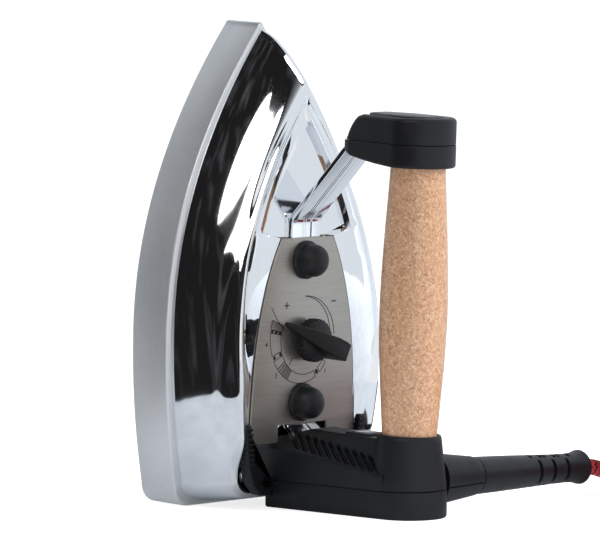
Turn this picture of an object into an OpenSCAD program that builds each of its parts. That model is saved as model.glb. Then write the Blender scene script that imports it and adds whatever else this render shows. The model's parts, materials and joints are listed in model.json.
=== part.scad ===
// Heavy dry iron, standing on its heel, with its cord.
// Inside iron_frame(): x runs from the sole's face to the handle, y is sideways, z runs to the tip.
// The iron leans back by `lean`, so its rear housing lies flat on Z = 0.

/* [Stance] */
// Angle that the iron leans back on its heel
lean = 2; // [0:0.5:5]

/* [Soleplate] */
// Length from the heel edge to the tip
sole_len = 206.6; // [180:0.2:240]
// Width at the widest place
sole_w = 106.8; // [90:0.2:130]
// Thickness of the soleplate
sole_t = 20.4; // [10:0.2:26]
// Distance of the widest place from the heel edge
widest = 76; // [50:1:100]
// Radius of the two heel corners
heel_r = 9; // [4:1:16]

/* [Heater] */
// Diameter of the tubular heating element
heater_d = 8; // [6:0.1:9]
// Sideways distance between the element's two legs
heater_span = 56; // [40:1:64]

/* [Hood] */
// Level of the hood's recessed floor
hood_floor = 47.4; // [42:0.2:50]
// Thickness of the hood's sheet
hood_t = 0.8; // [0.6:0.1:1.6]

/* [Dial] */
// Distance of the dial's axis from the heel edge
dial_at = 72.4; // [60:0.2:90]
// Thickness of the dial plate
plate_t = 1; // [0.6:0.1:2]
// Radius of the knob's skirt
knob_r = 9.3; // [8:0.1:14]
// Turn of the pointer at rest, counted from sideways
knob_rest = 155; // [0:1:360]

/* [Bracket and studs] */
// Width of the bracket strap
strap_w = 18.5; // [14:0.5:30]
// Thickness of the bracket strap
strap_t = 2.5; // [2:0.5:4]
// Distance of the front stud from the heel edge
stud_front = 106.5; // [95:0.5:120]
// Distance of the rear stud from the heel edge
stud_rear = 45.5; // [40:0.5:55]
// Thread radius of the studs and of the handle rod
stud_r = 3; // [2.5:0.5:4]

/* [Handle] */
// Height of the handle's axis above the sole's face
grip_x = 111.8; // [95:0.2:125]
// Level of the grip's rear end
grip_z0 = 34.5; // [30:0.5:45]
// Level of the grip's front end
grip_z1 = 156.5; // [140:0.5:170]
// Radius of the grip at its fattest
grip_r = 14.3; // [11:0.1:18]
// Radius of the caps around the grip's ends
barrel_r = 15.6; // [13:0.1:20]

/* [Rear housing] */
// Half of the housing's width
house_hw = 16.2; // [12:0.1:20]
// Level of the joint between housing and cover, above the floor
joint_z = 11.8; // [8:0.1:16]
// Wall of the mouldings
wall = 2.4; // [1.6:0.1:3]

/* [Cord] */
// Diameter of the cord
cord_d = 7; // [6:0.1:8]
// Radius of the strain relief at its thick end
relief_r = 7.9; // [6:0.1:10]
// Radius of the plug's body
plug_r = 18; // [16:0.5:20]

/* [Hidden] */

fit = 0.05;                         // radial clearance of a shaft in its bore
gap = 0.3;                          // clearance between pieces that don't touch
half_w = sole_w / 2;
x_mid = 66.6;                       // half of the iron's depth, which centres it on X = 0
fine = 64;                          // segments of a visible round feature
small = 32;                         // segments of a small round feature

// Outline of the sole: a heel line, two corner arcs and sides that close at the tip
heel_taper = 0.187;
tip_power = 2.04;
side_steps = 26;
function width_at(z) = z > widest
    ? half_w * (1 - pow((z - widest) / (sole_len - widest), tip_power))
    : half_w * (1 - heel_taper * pow((widest - z) / widest, 2));
corner_y = width_at(heel_r) - heel_r;
one_side = concat(
    [for (a = [-90:15:-15]) [corner_y + heel_r * cos(a), heel_r + heel_r * sin(a)]],
    [for (i = [0:side_steps - 1]) let (z = heel_r + (sole_len - heel_r) * i / side_steps)
        [width_at(z), z]]);
outline = concat(one_side, [[0, sole_len]],
    [for (i = [len(one_side) - 1:-1:0]) [-one_side[i][0], one_side[i][1]]]);

// The outline drawn narrower and between two other levels
function squeezed(across, z0, z1) =
    [for (p = outline) [p[0] * across, z0 + (z1 - z0) * p[1] / sole_len]];

// Levels of the stack between the sole and the cap nuts
strap_x0 = hood_floor;
plate_x0 = strap_x0 + strap_t;
plate_x1 = plate_x0 + plate_t;
stud_y = -1.2;

// Bracket strap: its centreline through the rear tab, the dial plate's underside and the front tab
strap_mid = strap_x0 + strap_t / 2;
tab_rear_z = 27;
tab_front_z = 159;
strap_path = [[117.5, tab_rear_z], [61, tab_rear_z], [strap_mid, 35.8], [strap_mid, 123.7],
    [81.4, tab_front_z], [119, tab_front_z]];

// Cord, in the part's own frame: where it leaves the relief, its coil and its plug
exit_at = [46, 113, 12.5];
relief_tilt = 1.3;
relief_y0 = 41;
relief_len = 72;
coil_at = [84.5, 157];
coil_floor = 0.8;
turn_radii = [31.5, 38.5];
layers = 4;
drop_len = coil_at[1] - exit_at[1];
drop = exit_at[2] - coil_floor - cord_d / 2;
// height of the cord on its way down to the floor, along two equal arcs
function falling(t) = exit_at[2] - drop * (t < 0.5 ? 2 * t * t : 1 - 2 * (1 - t) * (1 - t));
cord_route = [for (t = [0:0.125:1]) [exit_at[0], exit_at[1] + drop_len * t - 0.1 * t, falling(t)]];
top_z = coil_floor + (layers - 0.5) * cord_d;
plug_at = [118, 128, 26.9];
plug_tilt = 9.7;
tail_route = [[123, 156.5, top_z + 0.1], [122.4, 150.3, top_z + 0.1], [120.7, 143.8, 26.3],
    [119.2, 138.8, 27.2], [118.3, 133.5, 27.5], plug_at + [0, gap, 0.05]];

black = [0.07, 0.07, 0.08];
steel = [0.72, 0.73, 0.75];
chrome = [0.85, 0.86, 0.88];
iron_grey = [0.6, 0.6, 0.6];

// Placing helpers
module iron_frame() translate([-x_mid, 0, sole_t * sin(lean)]) rotate([0, lean, 0]) children();
module floor_frame() rotate([0, -lean, 0]) translate([x_mid, 0, -sole_t * sin(lean)]) children();
module plate(x0, x1) translate([x0, 0, 0]) rotate([90, 0, 90]) linear_extrude(x1 - x0) children();
module profile(width) rotate([90, 0, 0]) linear_extrude(width, center = true) children();
module rod_x(x0, x1, r, y, z, facets = small)
    translate([x0, y, z]) rotate([0, 90, 0]) cylinder(h = x1 - x0, r = r, $fn = facets);
module both_sides() { children(); mirror([0, 1, 0]) children(); }
module block(x0, x1, y0, y1, z0, z1) translate([x0, y0, z0]) cube([x1 - x0, y1 - y0, z1 - z0]);

// A tube swept through a list of points, one ring of corners at each
module sweep(route, r, sides = 10) {
    last = len(route) - 1;
    rings = [for (i = [0:last]) let (
        ahead = route[min(i + 1, last)] - route[max(i - 1, 0)],
        along = ahead / norm(ahead),
        flat = cross(along, [0, 0, 1]),
        across = flat / norm(flat),
        up = cross(across, along))
        for (k = [0:sides - 1]) let (a = 360 * k / sides) route[i] + r * (cos(a) * across + sin(a) * up)];
    faces = concat(
        [[for (k = [0:sides - 1]) k]],
        [for (i = [0:last - 1], k = [0:sides - 1]) let (n = (k + 1) % sides)
            [i * sides + k, (i + 1) * sides + k, (i + 1) * sides + n, i * sides + n]],
        [[for (k = [sides - 1:-1:0]) last * sides + k]]);
    polyhedron(points = rings, faces = faces, convexity = 4);
}

// ---- soleplate and heater ----
leg_z0 = 20;                        // where the element's legs turn up
leg_z1 = 128;                       // where the element's front bend starts
module heater_run(r) {
    bend = heater_span / 2;
    for (y = [-bend, bend]) translate([0, y, leg_z0]) cylinder(h = leg_z1 - leg_z0, r = r, $fn = small);
    translate([0, 0, leg_z1]) rotate([0, 90, 0]) rotate([0, 0, 90])
        rotate_extrude(angle = 180, $fn = fine) translate([bend, 0]) circle(r = r, $fn = small);
}

module soleplate() color(iron_grey) iron_frame() difference() {
    plate(0, sole_t) polygon(outline);
    // groove for the element, open at the top
    translate([sole_t - heater_d / 2 - 0.2, 0, 0]) {
        heater_run(heater_d / 2 + 0.2);
        for (y = [-1, 1]) block(0, 8, y * heater_span / 2 - 4.2, y * heater_span / 2 + 4.2, leg_z0, leg_z1);
    }
    translate([sole_t - 4.4, 0, leg_z1]) rotate([90, 0, 90]) rotate_extrude(angle = 180, $fn = fine)
        translate([heater_span / 2 - 4.2, 0]) square([8.4, 8]);
    for (y = [-1, 1]) rod_x(sole_t - 5, sole_t + 1, heater_d / 2 + 0.2, y * heater_span / 2, leg_z0);
    for (y = [-1, 1]) translate([sole_t - heater_d / 2 - 0.2, y * heater_span / 2, leg_z0])
        sphere(r = heater_d / 2 + gap, $fn = small);
    for (z = [stud_front, stud_rear]) rod_x(sole_t - 12, sole_t + 1, stud_r, stud_y, z);
    for (p = clamp_places) rod_x(sole_t - 8, sole_t + 1, 2, p[0], p[1]);
}

clamp_places = [[18, 34], [-18, 34], [18, 140], [-18, 140]];
terminal_x = 41;                    // top of the element's upright ends
module heating_element() color([0.35, 0.34, 0.33]) iron_frame() {
    x = sole_t - heater_d / 2 - 0.2;
    translate([x, 0, 0]) heater_run(heater_d / 2);
    for (y = [-1, 1]) {
        translate([x, y * heater_span / 2, leg_z0]) sphere(r = heater_d / 2, $fn = small);
        rod_x(x, terminal_x - 8, heater_d / 2, y * heater_span / 2, leg_z0);
        rod_x(terminal_x - 8, terminal_x, 1.5, y * heater_span / 2, leg_z0);
    }
}

clamp_t = 2;
module element_clamp() color(steel) iron_frame() difference() {
    plate(sole_t, sole_t + clamp_t) polygon(squeezed(0.68, 28, 172));
    for (z = [stud_front, stud_rear]) rod_x(sole_t - 1, sole_t + 4, 6.2, stud_y, z);
    for (p = clamp_places) rod_x(sole_t - 1, sole_t + 4, 2.2, p[0], p[1]);
}

module clamp_screws() color(steel) iron_frame() for (p = clamp_places) {
    rod_x(sole_t - 7, sole_t + clamp_t, 2 - fit, p[0], p[1]);
    rod_x(sole_t + clamp_t, sole_t + clamp_t + 2.6, 3.5, p[0], p[1]);
}

module studs() color(steel) iron_frame() for (z = [stud_front, stud_rear])
    rod_x(sole_t - 11.5, plate_x1 + 6, stud_r - fit, stud_y, z);

module stud_spacers() color(steel) iron_frame() for (z = [stud_front, stud_rear]) difference() {
    rod_x(sole_t, hood_floor - hood_t, 5.5, stud_y, z);
    rod_x(sole_t - 1, hood_floor, stud_r + 0.2, stud_y, z);
}

shield_x = 32;
module heat_shield() color([0.8, 0.79, 0.74]) iron_frame() difference() {
    plate(shield_x, shield_x + 1.2) polygon(squeezed(0.76, 34, 166));
    for (z = [stud_front, stud_rear]) rod_x(shield_x - 1, shield_x + 2, 5.8, stud_y, z);
    rod_x(shield_x - 1, shield_x + 2, 11.5, 0, dial_at);
}

// ---- thermostat ----
stack_x0 = sole_t + clamp_t + 1.5;
blade_at = dial_at + 20;            // where the bimetal blade is fixed
module thermostat_bracket() color(steel) iron_frame() difference() {
    plate(sole_t + clamp_t, stack_x0) translate([-11, dial_at - 16]) square([22, 41]);
    for (z = [dial_at, blade_at]) rod_x(sole_t, stack_x0 + 1, 2.1, 0, z);
}

module thermostat_stack() color([0.86, 0.84, 0.78]) iron_frame() {
    difference() {
        rod_x(stack_x0, 36, 9, 0, dial_at, fine);
        rod_x(34.4, 37, stud_r + gap, 0, dial_at);
    }
}

module thermostat_bimetal() color([0.75, 0.62, 0.35]) iron_frame() {
    plate(stack_x0, stack_x0 + 1) translate([-4, dial_at + 9.5]) square([8, 14.5]);
    rod_x(stack_x0 + 1, stack_x0 + 3, 3, 0, blade_at);
}

bush_x1 = 42;
module thermostat_bush() color([0.8, 0.66, 0.3]) iron_frame() difference() {
    rod_x(36, bush_x1, 5, 0, dial_at);
    rod_x(35, bush_x1 + 1, stud_r + fit, 0, dial_at);
}

spindle_x1 = 62;
module dial_spindle() color([0.8, 0.66, 0.3]) iron_frame()
    rod_x(34.8, spindle_x1, stud_r, 0, dial_at);

// Pointer knob: ribbed skirt under a wedge that is low and narrow at the nose, tall and blunt at the back
knob_x0 = 53.4;
knob_x1 = 66.5;
skirt_x1 = 61;
rib_count = 24;
nose = 18.9;
nose_x = [54.6, 56.5];
back = 12.6;
module pointer() intersection() {
    plate(knob_x0, knob_x1) polygon([[-back, -3.9], [-back, 3.9], [-6, 4.3], [6, 3], [nose, 0.7],
        [nose, -0.7], [6, -3], [-6, -4.3]]);
    translate([0, 0, -8]) linear_extrude(16) polygon([[knob_x0 + 0.4, -back - 1], [knob_x1, -back - 1],
        [knob_x1 - 0.6, -back + 6], [nose_x[1], nose + 1], [nose_x[0], nose + 1], [knob_x0 + 0.4, 9]]);
}
module dial_knob() color(black) iron_frame() translate([0, 0, dial_at]) rotate([knob_rest, 0, 0])
    difference() {
        union() {
            rod_x(knob_x0, skirt_x1, knob_r - 0.6, 0, 0, fine);
            for (k = [0:rib_count - 1]) rotate([360 * k / rib_count, 0, 0])
                block(knob_x0, skirt_x1 - 0.6, knob_r - 1, knob_r, -0.6, 0.6);
            pointer();
        }
        rod_x(knob_x0 - 1, spindle_x1 + 0.2, stud_r, 0, 0);
    }

// ---- hood, guards and dial plate ----
crest_levels = [[0, 48.2], [46, 48.2], [50, 55.6], [63, 55], [86, 53.6], [108, 52], [121, 51.4],
    [147, 49.4], [180, 48.2]];
function crest_at(z) = lookup(z, crest_levels);
function hood_ring(across, z0, z1, level) =
    [for (p = squeezed(across, z0, z1)) [level < 100 ? level : max(crest_at(p[1]) + level - 200,
        hood_floor + 0.2), p[0], p[1]]];
// a level of 200 follows the crest, and 198 runs 2 mm below it
hood_rings = [
    hood_ring(0.944, 3.2, 203.4, sole_t + 0.2),
    hood_ring(0.912, 4.2, 195, 34),
    hood_ring(0.862, 5.6, 183, 45),
    hood_ring(0.828, 6.8, 178.5, 198.4),
    hood_ring(0.806, 8, 176.4, 200),
    hood_ring(0.788, 9.2, 175, 199.6),
    hood_ring(0.766, 11, 172.6, 197),
    hood_ring(0.738, 13.5, 168.5, hood_floor),
    hood_ring(0.7, 13.5, 168.5, hood_floor - hood_t),
    hood_ring(0.83, 9, 176, hood_floor - hood_t - 2),
    hood_ring(0.89, 6, 190, 34),
    hood_ring(0.924, 5, 199, sole_t + 0.2)];

module hood_shell() {
    n = len(outline);
    rings = len(hood_rings);
    points = [for (r = hood_rings) each r];
    floor_ring = 7;
    faces = concat(
        [for (r = [0:floor_ring - 1], k = [0:n - 1]) let (m = (k + 1) % n)
            [r * n + k, r * n + m, (r + 1) * n + m, (r + 1) * n + k]],
        [[for (k = [0:n - 1]) floor_ring * n + k]],
        [[for (k = [n - 1:-1:0]) (floor_ring + 1) * n + k]],
        [for (r = [floor_ring + 1:rings - 2], k = [0:n - 1]) let (m = (k + 1) % n)
            [r * n + k, r * n + m, (r + 1) * n + m, (r + 1) * n + k]],
        [for (k = [0:n - 1]) let (m = (k + 1) % n) [(rings - 1) * n + k, (rings - 1) * n + m, m, k]]);
    polyhedron(points = points, faces = faces, convexity = 6);
}

notch_z = 37.5;                     // how far the housing's end reaches over the hood
module hood() color(chrome) iron_frame() difference() {
    hood_shell();
    for (z = [stud_front, stud_rear]) rod_x(40, 60, stud_r + 0.2, stud_y, z);
    rod_x(40, 60, 5.6, 0, dial_at);
    block(43.9, 70, -house_hw - 1, house_hw + 1, -5, notch_z);
}

// Two black corner guards on the hood's rear edge, with ribbed outer faces
guard_x1 = 55.4;
module heel_guard() {
    plate(hood_floor + 1.1, plate_x0 - 0.1) polygon([[17.6, 6], [29, 6], [35, 9.5], [39, 17],
        [41, 30], [41.6, 45], [30, 45], [30, 14], [17.6, 14]]);
    difference() {
        plate(plate_x0 - 0.1, guard_x1) polygon([[17.6, 6], [29, 6], [35, 9.5], [39, 17], [41, 30],
            [41.6, 45], [36.6, 45], [36, 30], [34, 24], [30, 20], [17.6, 20]]);
        rod_x(52, guard_x1 + 1, 2.6, 24, 13);
    }
    for (k = [0:8]) block(48.5, guard_x1 - 0.6, 40.4, 42, 27 + 1.6 * k, 27.8 + 1.6 * k);
}
module heel_guards() color(black) iron_frame() both_sides() heel_guard();

module guard_screws() color(steel) iron_frame() for (y = [-24, 24]) difference() {
    rod_x(52, 54.2, 2.5, y, 13);
    block(53.4, 54.3, y - 3, y + 3, 12.6, 13.4);
}

// ---- handle bracket ----
// One side of the strap's edge view: the centreline's point i moved out by `off`, with mitred bends
function across_line(a, b) = let (d = b - a) [-d[1], d[0]] / norm(d);
function strap_edge(i, off) = let (
    last = len(strap_path) - 1,
    before = max(i, 1),
    after = min(i, last - 1),
    m = across_line(strap_path[before - 1], strap_path[before]),
    n = across_line(strap_path[after], strap_path[after + 1]))
    strap_path[i] + off * (m + n) / (1 + m * n);
module strap(width, thick) profile(width) polygon(concat(
    [for (i = [0:len(strap_path) - 1]) strap_edge(i, thick / 2)],
    [for (i = [len(strap_path) - 1:-1:0]) strap_edge(i, -thick / 2)]));

groove_t = 0.7;
module handle_bracket() color(chrome) iron_frame() difference() {
    strap(strap_w, strap_t);
    for (z = [tab_front_z, tab_rear_z]) translate([grip_x, 0, z - 5])
        cylinder(h = 10, r = stud_r + gap, $fn = small);
    for (z = [stud_front, stud_rear]) rod_x(strap_x0 - 5, strap_x0 + 10, stud_r + 0.3, stud_y, z);
    rod_x(strap_x0 - 5, strap_x0 + 10, 4.6, 0, dial_at);
    // two lengthwise grooves on the sloping part
    a = strap_path[3];
    d = strap_path[4] - a;
    for (y = [-3.5, 4.5]) translate([a[0], 0, a[1]]) rotate([0, -atan2(d[1], d[0]), 0])
        translate([3, y, -strap_t / 2 - 1]) cube([norm(d) - 6, 1.6, 1 + groove_t]);
}

plate_half = [[16.1, 116], [20, 108], [23.9, 98], [26.7, 88], [28.7, 79], [30.8, 64], [31.9, 48],
    [32.4, 36], [31.6, 32], [29.6, 29.8], [26.6, 29]];
module dial_plate() color([0.62, 0.6, 0.57]) iron_frame() difference() {
    plate(plate_x0, plate_x1) polygon(concat(plate_half,
        [for (i = [len(plate_half) - 1:-1:0]) [-plate_half[i][0], plate_half[i][1]]]));
    for (z = [stud_front, stud_rear]) rod_x(plate_x0 - 5, plate_x1 + 5, stud_r + 0.2, stud_y, z);
    rod_x(plate_x0 - 5, plate_x1 + 5, 4.2, 0, dial_at);
    block(plate_x0 - 5, plate_x1 + 5, -house_hw - 0.8, house_hw + 0.8, 20, notch_z);
}

// Domed blind nuts on the two studs
nut_outline = [[0, 0], [8.2, 0], [8.2, 1.6], [7.6, 2.4], [7.1, 2.8], [7, 5.6], [6.3, 7.8], [4.6, 9.4],
    [2.2, 10.2], [0, 10.4]];
module cap_nuts() color(black) iron_frame() for (z = [stud_front, stud_rear]) difference() {
    translate([plate_x1, stud_y, z]) rotate([0, 90, 0]) rotate_extrude($fn = fine) polygon(nut_outline);
    rod_x(plate_x1 - 1, plate_x1 + 6.5, stud_r, stud_y, z);
}

// ---- front cap ----
cap_tip = 78.6;
cap_z0 = 150.5;
cap_z1 = 171.5;
cap_seam = tab_front_z + strap_t / 2;
inset_depth = 1.2;
module cap_body() intersection() {
    union() {
        translate([grip_x, 0, cap_z0]) cylinder(h = cap_z1 - cap_z0, r = barrel_r, $fn = fine);
        translate([0, 0, cap_z0]) linear_extrude(cap_z1 - cap_z0)
            polygon([[cap_tip, -10.4], [cap_tip, 10.4], [82, 11.6], [grip_x, barrel_r], [grip_x, -barrel_r],
                [82, -11.6]]);
    }
    profile(40) polygon([[79.6, 159.8], [81.6, 163.5], [84.8, 169], [88, cap_z1], [130, cap_z1],
        [130, cap_z0], [109, cap_z0], [99, 151.4], [90, 152.6], [82.5, 153.6], [cap_tip, 155.6]]);
}
module inset_outline(grow) hull() {
    translate([grip_x, 0]) circle(r = 10.5 + grow, $fn = small);
    translate([95, 0]) circle(r = 7.5 + grow, $fn = small);
}
module front_cap() color(black) iron_frame() difference() {
    cap_body();
    block(60, 140, -30, 30, 140, cap_seam);
    translate([0, 0, cap_z1 - inset_depth]) linear_extrude(5) inset_outline(0);
    translate([grip_x, 0, cap_seam - 1]) cylinder(h = 8.5, r = 7, $fn = small);
}
module front_cap_lower() color(black) iron_frame() difference() {
    cap_body();
    block(60, 140, -30, 30, cap_seam, 180);
    strap(strap_w + 2 * gap, strap_t + 0.02);
    translate([grip_x, 0, cap_z0 - 1]) cylinder(h = grip_z1 - cap_z0 + 1.02, r = 11.9, $fn = fine);
    translate([grip_x, 0, cap_z0]) cylinder(h = 12, r = stud_r + 0.4, $fn = small);
}
module front_cap_insert() color([0.1, 0.1, 0.11]) iron_frame()
    translate([0, 0, cap_z1 - inset_depth]) linear_extrude(inset_depth - 0.4) inset_outline(-0.2);

// ---- grip and its rod ----
grip_bore = stud_r + 0.4;
grip_profile = [[grip_bore, 34.5], [11.3, 34.5], [11.5, 40], [12.6, 52], [13.6, 66], [14.2, 82],
    [14.3, 92], [13.9, 108], [13, 126], [12, 142], [11.6, 150], [11.6, 156.5], [grip_bore, 156.5]];
module cork_grip() color([0.76, 0.58, 0.38]) iron_frame() translate([grip_x, 0, 0])
    rotate_extrude($fn = fine) polygon([for (p = grip_profile)
        [p[0] * (p[0] > 5 ? grip_r / 14.3 : 1), p[1] < 35 ? grip_z0 : p[1] > 156 ? grip_z1 : p[1]]]);

rod_z0 = 20.5;
rod_z1 = 166;
module handle_rod() color(steel) iron_frame() translate([grip_x, 0, rod_z0])
    cylinder(h = rod_z1 - rod_z0, r = stud_r, $fn = small);
module rod_nuts() color(steel) iron_frame() for (z = [tab_rear_z - strap_t / 2 - 5, cap_seam])
    translate([grip_x, 0, z]) difference() {
        cylinder(h = 5, r = 5.7, $fn = 6);
        translate([0, 0, -1]) cylinder(h = 7, r = stud_r + fit, $fn = small);
    }

// ---- rear housing ----
house_x0 = 44.5;
ridge_z = 35.6;
flank_z = 26;
house_rim_z = 38.2;
boss_y = 14;
module relief_line(y) translate([exit_at[0], relief_y0, exit_at[2] + relief_len * sin(relief_tilt)])
    rotate([-90 - relief_tilt, 0, 0]) translate([0, 0, y - relief_y0]) children();
module boss() relief_line(boss_y)
    cylinder(h = relief_y0 - boss_y - gap, r1 = 10.9, r2 = 8.3, $fn = fine);

// Outer shape of housing and cover together, in the iron's frame
module house_body(in) {
    intersection() {
        plate(house_x0 + in, grip_x) polygon([[-house_hw + in, -8 + in], [house_hw - in, -8 + in],
            [house_hw - in, flank_z - in / 2], [7.5 - in / 2, ridge_z - in], [-7.5 + in / 2, ridge_z - in],
            [-house_hw + in, flank_z - in / 2]]);
        profile(60) polygon([[house_x0 + in, -9], [grip_x, -9], [grip_x, ridge_z - in], [63, ridge_z - in],
            [47 + in, 31 - in], [house_x0 + in, 27 - in]]);
    }
    translate([grip_x, 0, -8]) cylinder(h = 20 + in / 2, r = house_hw - in, $fn = fine);
    translate([grip_x, 0, 12])
        cylinder(h = house_rim_z - 12 - 2 * in, r1 = house_hw - in, r2 = 13.3 - in, $fn = fine);
}
module above_joint(z0, z1) floor_frame() block(-200, 200, -100, 100, z0, z1);

fin_count = 8;
module fins() for (k = [0:fin_count - 1]) translate([64 + 5.4 * k, 0, 30]) rotate([0, -24, 0])
    translate([-1.3, -20, -5.2]) cube([2.6, 10.2, 9.4]);

cork_socket_r = 11.9;
window_x = [82.5, 92];
module rear_housing() color(black) iron_frame() difference() {
    union() {
        intersection() {
            house_body(0);
            above_joint(joint_z, 90);
        }
        intersection() {
            floor_frame() boss();
            above_joint(joint_z, 90);
            block(60, 160, 13, 60, 0, 60);
        }
        window_frame();
    }
    intersection() {
        house_body(wall);
        block(0, 200, -40, 40, -20, 31);
    }
    translate([grip_x, 0, grip_z0]) cylinder(h = 20, r = cork_socket_r, $fn = fine);
    translate([grip_x, 0, 20]) cylinder(h = 20, r = stud_r + 0.4, $fn = small);
    strap(strap_w + 2 * gap, strap_t + 2 * gap);
    block(house_x0 - 1, house_x0 + wall + 1, -11, 11, 14, 24);
    both_sides() fins();
    block(window_x[0], window_x[1], -4.2, 4.2, 30, 40);
    floor_frame() relief_line(10) cylinder(h = 32, r = cord_d / 2 + 0.4, $fn = small);
}
// Raised frame of the pilot lamp's window
module window_frame() difference() {
    block(window_x[0] - 1.8, window_x[1] + 1.8, -6, 6, ridge_z - 1, ridge_z + 0.8);
    block(window_x[0], window_x[1], -4.2, 4.2, ridge_z - 2, ridge_z + 2);
}

post_places = [[60, 0], [100, 0]];
module rear_cover() color(black) iron_frame() difference() {
    union() {
        difference() {
            union() {
                intersection() {
                    house_body(0);
                    above_joint(0, joint_z);
                }
                intersection() {
                    floor_frame() boss();
                    above_joint(3, joint_z);
                    block(60, 160, 13, 60, -10, 60);
                }
            }
            intersection() {
                house_body(wall);
                above_joint(wall, joint_z + 1);
            }
        }
        floor_frame() for (p = post_places) translate([p[0] - x_mid, p[1], wall - 0.1])
            cylinder(h = joint_z - wall, r = 4, $fn = small);
        floor_frame() for (x = clamp_xs) translate([exit_at[0] + x, clamp_y, wall - 0.1])
            cylinder(h = clamp_z - wall + 0.1, r = clamp_post_r, $fn = small);
    }
    floor_frame() for (p = post_places) translate([p[0] - x_mid, p[1], -1]) {
        cylinder(h = 20, r = 1.8, $fn = small);
        cylinder(h = 4, r = 3.4, $fn = small);
    }
    floor_frame() relief_line(10) cylinder(h = 32, r = cord_d / 2 + 0.4, $fn = small);
}
module cover_screws() color(steel) for (p = post_places) translate([p[0] - x_mid, p[1], 0.6]) difference() {
    union() {
        cylinder(h = 2.4, r = 3.2, $fn = small);
        cylinder(h = 12, r = 1.5, $fn = small);
    }
    for (a = [0, 90]) rotate([0, 0, a]) translate([-2, -0.4, -0.1]) cube([4, 0.8, 1.2]);
}

module pilot_lens() color([0.35, 0.03, 0.03]) iron_frame()
    block(window_x[0] + 0.1, window_x[1] - 0.1, -4.1, 4.1, ridge_z - 2.2, ridge_z + 0.4);
module pilot_lamp() color([0.9, 0.6, 0.4]) iron_frame()
    translate([window_x[0] + 1, 0, 31]) rotate([0, 90, 0]) cylinder(h = 7.5, r = 2.2, $fn = small);

// ---- wiring ----
block_x = [68, 92];
block_z = [9, 18];
screw_xs = [72, 80, 88];
module terminal_block() color([0.88, 0.86, 0.8]) iron_frame() difference() {
    block(block_x[0], block_x[1], -9, 9, block_z[0], block_z[1]);
    for (x = screw_xs, y = [-5, 5]) translate([x, y, block_z[1] - 4]) cylinder(h = 5, r = 2, $fn = small);
    for (x = [76, 84]) block(x - 0.6, x + 0.6, -10, 10, block_z[1] - 3, block_z[1] + 1);
}
module terminal_screws() color([0.8, 0.66, 0.3]) iron_frame() for (x = screw_xs, y = [-5, 5])
    translate([x, y, block_z[1] - 4]) difference() {
        cylinder(h = 3.2, r = 1.9, $fn = small);
        translate([-2.5, -0.3, 2.4]) cube([5, 0.6, 1.2]);
    }

// Two insulated leads from the terminal block to the element's ends
lead_r = 1.3;
lead_z = leg_z0;
module lead_wires() color([0.85, 0.82, 0.72]) iron_frame() both_sides() sweep([
    [block_x[0] - 0.1, 5, 13.5], [60, 5.5, 14.5], [52, 7, 17], [46, 8.2, 18.6],
    [terminal_x + 2.4, 10.6, lead_z], [terminal_x + 1.5, 15, lead_z], [terminal_x + 1.4, 21, lead_z],
    [terminal_x + 1.4, heater_span / 2 + 1.5, lead_z]], lead_r, 8);

// Saddle that holds the cord down on two posts of the cover
clamp_xs = [-4.9, 4.9];
clamp_y = 8.6;
clamp_z = 18.7;
clamp_post_r = 1.2;
module clamp_frame() translate([exit_at[0], clamp_y, clamp_z]) children();
module cord_clamp() color(steel) clamp_frame() difference() {
    translate([-6.2, -1.8, 0]) cube([12.4, 3.6, 1.2]);
    for (x = clamp_xs) translate([x, 0, -1]) cylinder(h = 4, r = 0.8, $fn = small);
}
module cord_clamp_screws() color(steel) clamp_frame() for (x = clamp_xs) translate([x, 0, 0]) {
    cylinder(h = 1.3, r = 0.7, $fn = small);
    translate([0, 0, 1.2]) cylinder(h = 0.9, r = 1.3, $fn = small);
}

module cord_inner() color([0.5, 0.05, 0.06]) relief_line(8)
    cylinder(h = relief_y0 + relief_len - 8, r = cord_d / 2 - fit, $fn = small);

// Moulded strain relief with flexing slots and an end collar
relief_profile = [[cord_d / 2 + 0.1, 0], [relief_r, 0], [relief_r, 3], [7.3, 28], [6.6, 48],
    [6.4, 63], [6.6, 66], [7.1, 68.5], [7.1, 70.7], [6.6, relief_len], [cord_d / 2 + 0.1, relief_len]];
slot_y = [38.5, 48, 57.5];
module strain_relief() color(black) relief_line(relief_y0) difference() {
    rotate_extrude($fn = fine) polygon(relief_profile);
    for (s = slot_y) {
        for (x = [-6.6, 6.6]) translate([x - 1.6, -3.6, s]) cube([3.2, 7.2, 1.7]);
        for (y = [-6.6, 6.6], e = [-2.6, 2.6]) translate([-3.6, y - 1.6, s + e]) cube([7.2, 3.2, 1.5]);
    }
}

// ---- free cord, its coil and its plug ----
module cord() color([0.62, 0.05, 0.07]) sweep(cord_route, cord_d / 2);
module cord_tail() color([0.62, 0.05, 0.07]) sweep(tail_route, cord_d / 2);

coil_r0 = turn_radii[0] - cord_d / 2;
coil_rm = coil_r0 + cord_d;
coil_r1 = turn_radii[1] + cord_d / 2;
full_h = (layers - 1) * cord_d;     // height of the layers that go all the way round
module cord_coil() color([0.62, 0.05, 0.07]) translate([coil_at[0], coil_at[1], coil_floor]) difference() {
    union() {
        rotate_extrude($fn = fine) translate([coil_r0, 0]) square([coil_r1 - coil_r0, full_h]);
        rotate_extrude($fn = fine) translate([coil_r0, full_h - 0.1]) square([cord_d, cord_d + 0.1]);
        // the outer turn of the top layer ends half way round
        rotate_extrude(angle = 180, $fn = fine)
            translate([coil_rm - 0.1, full_h - 0.1]) square([cord_d + 0.1, cord_d + 0.1]);
    }
    // the cord comes in face to face with the first turn
    translate([exit_at[0] - coil_at[0] - 4, -30, -0.1]) cube([8, 30, 2 * cord_d + 1]);
}

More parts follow.
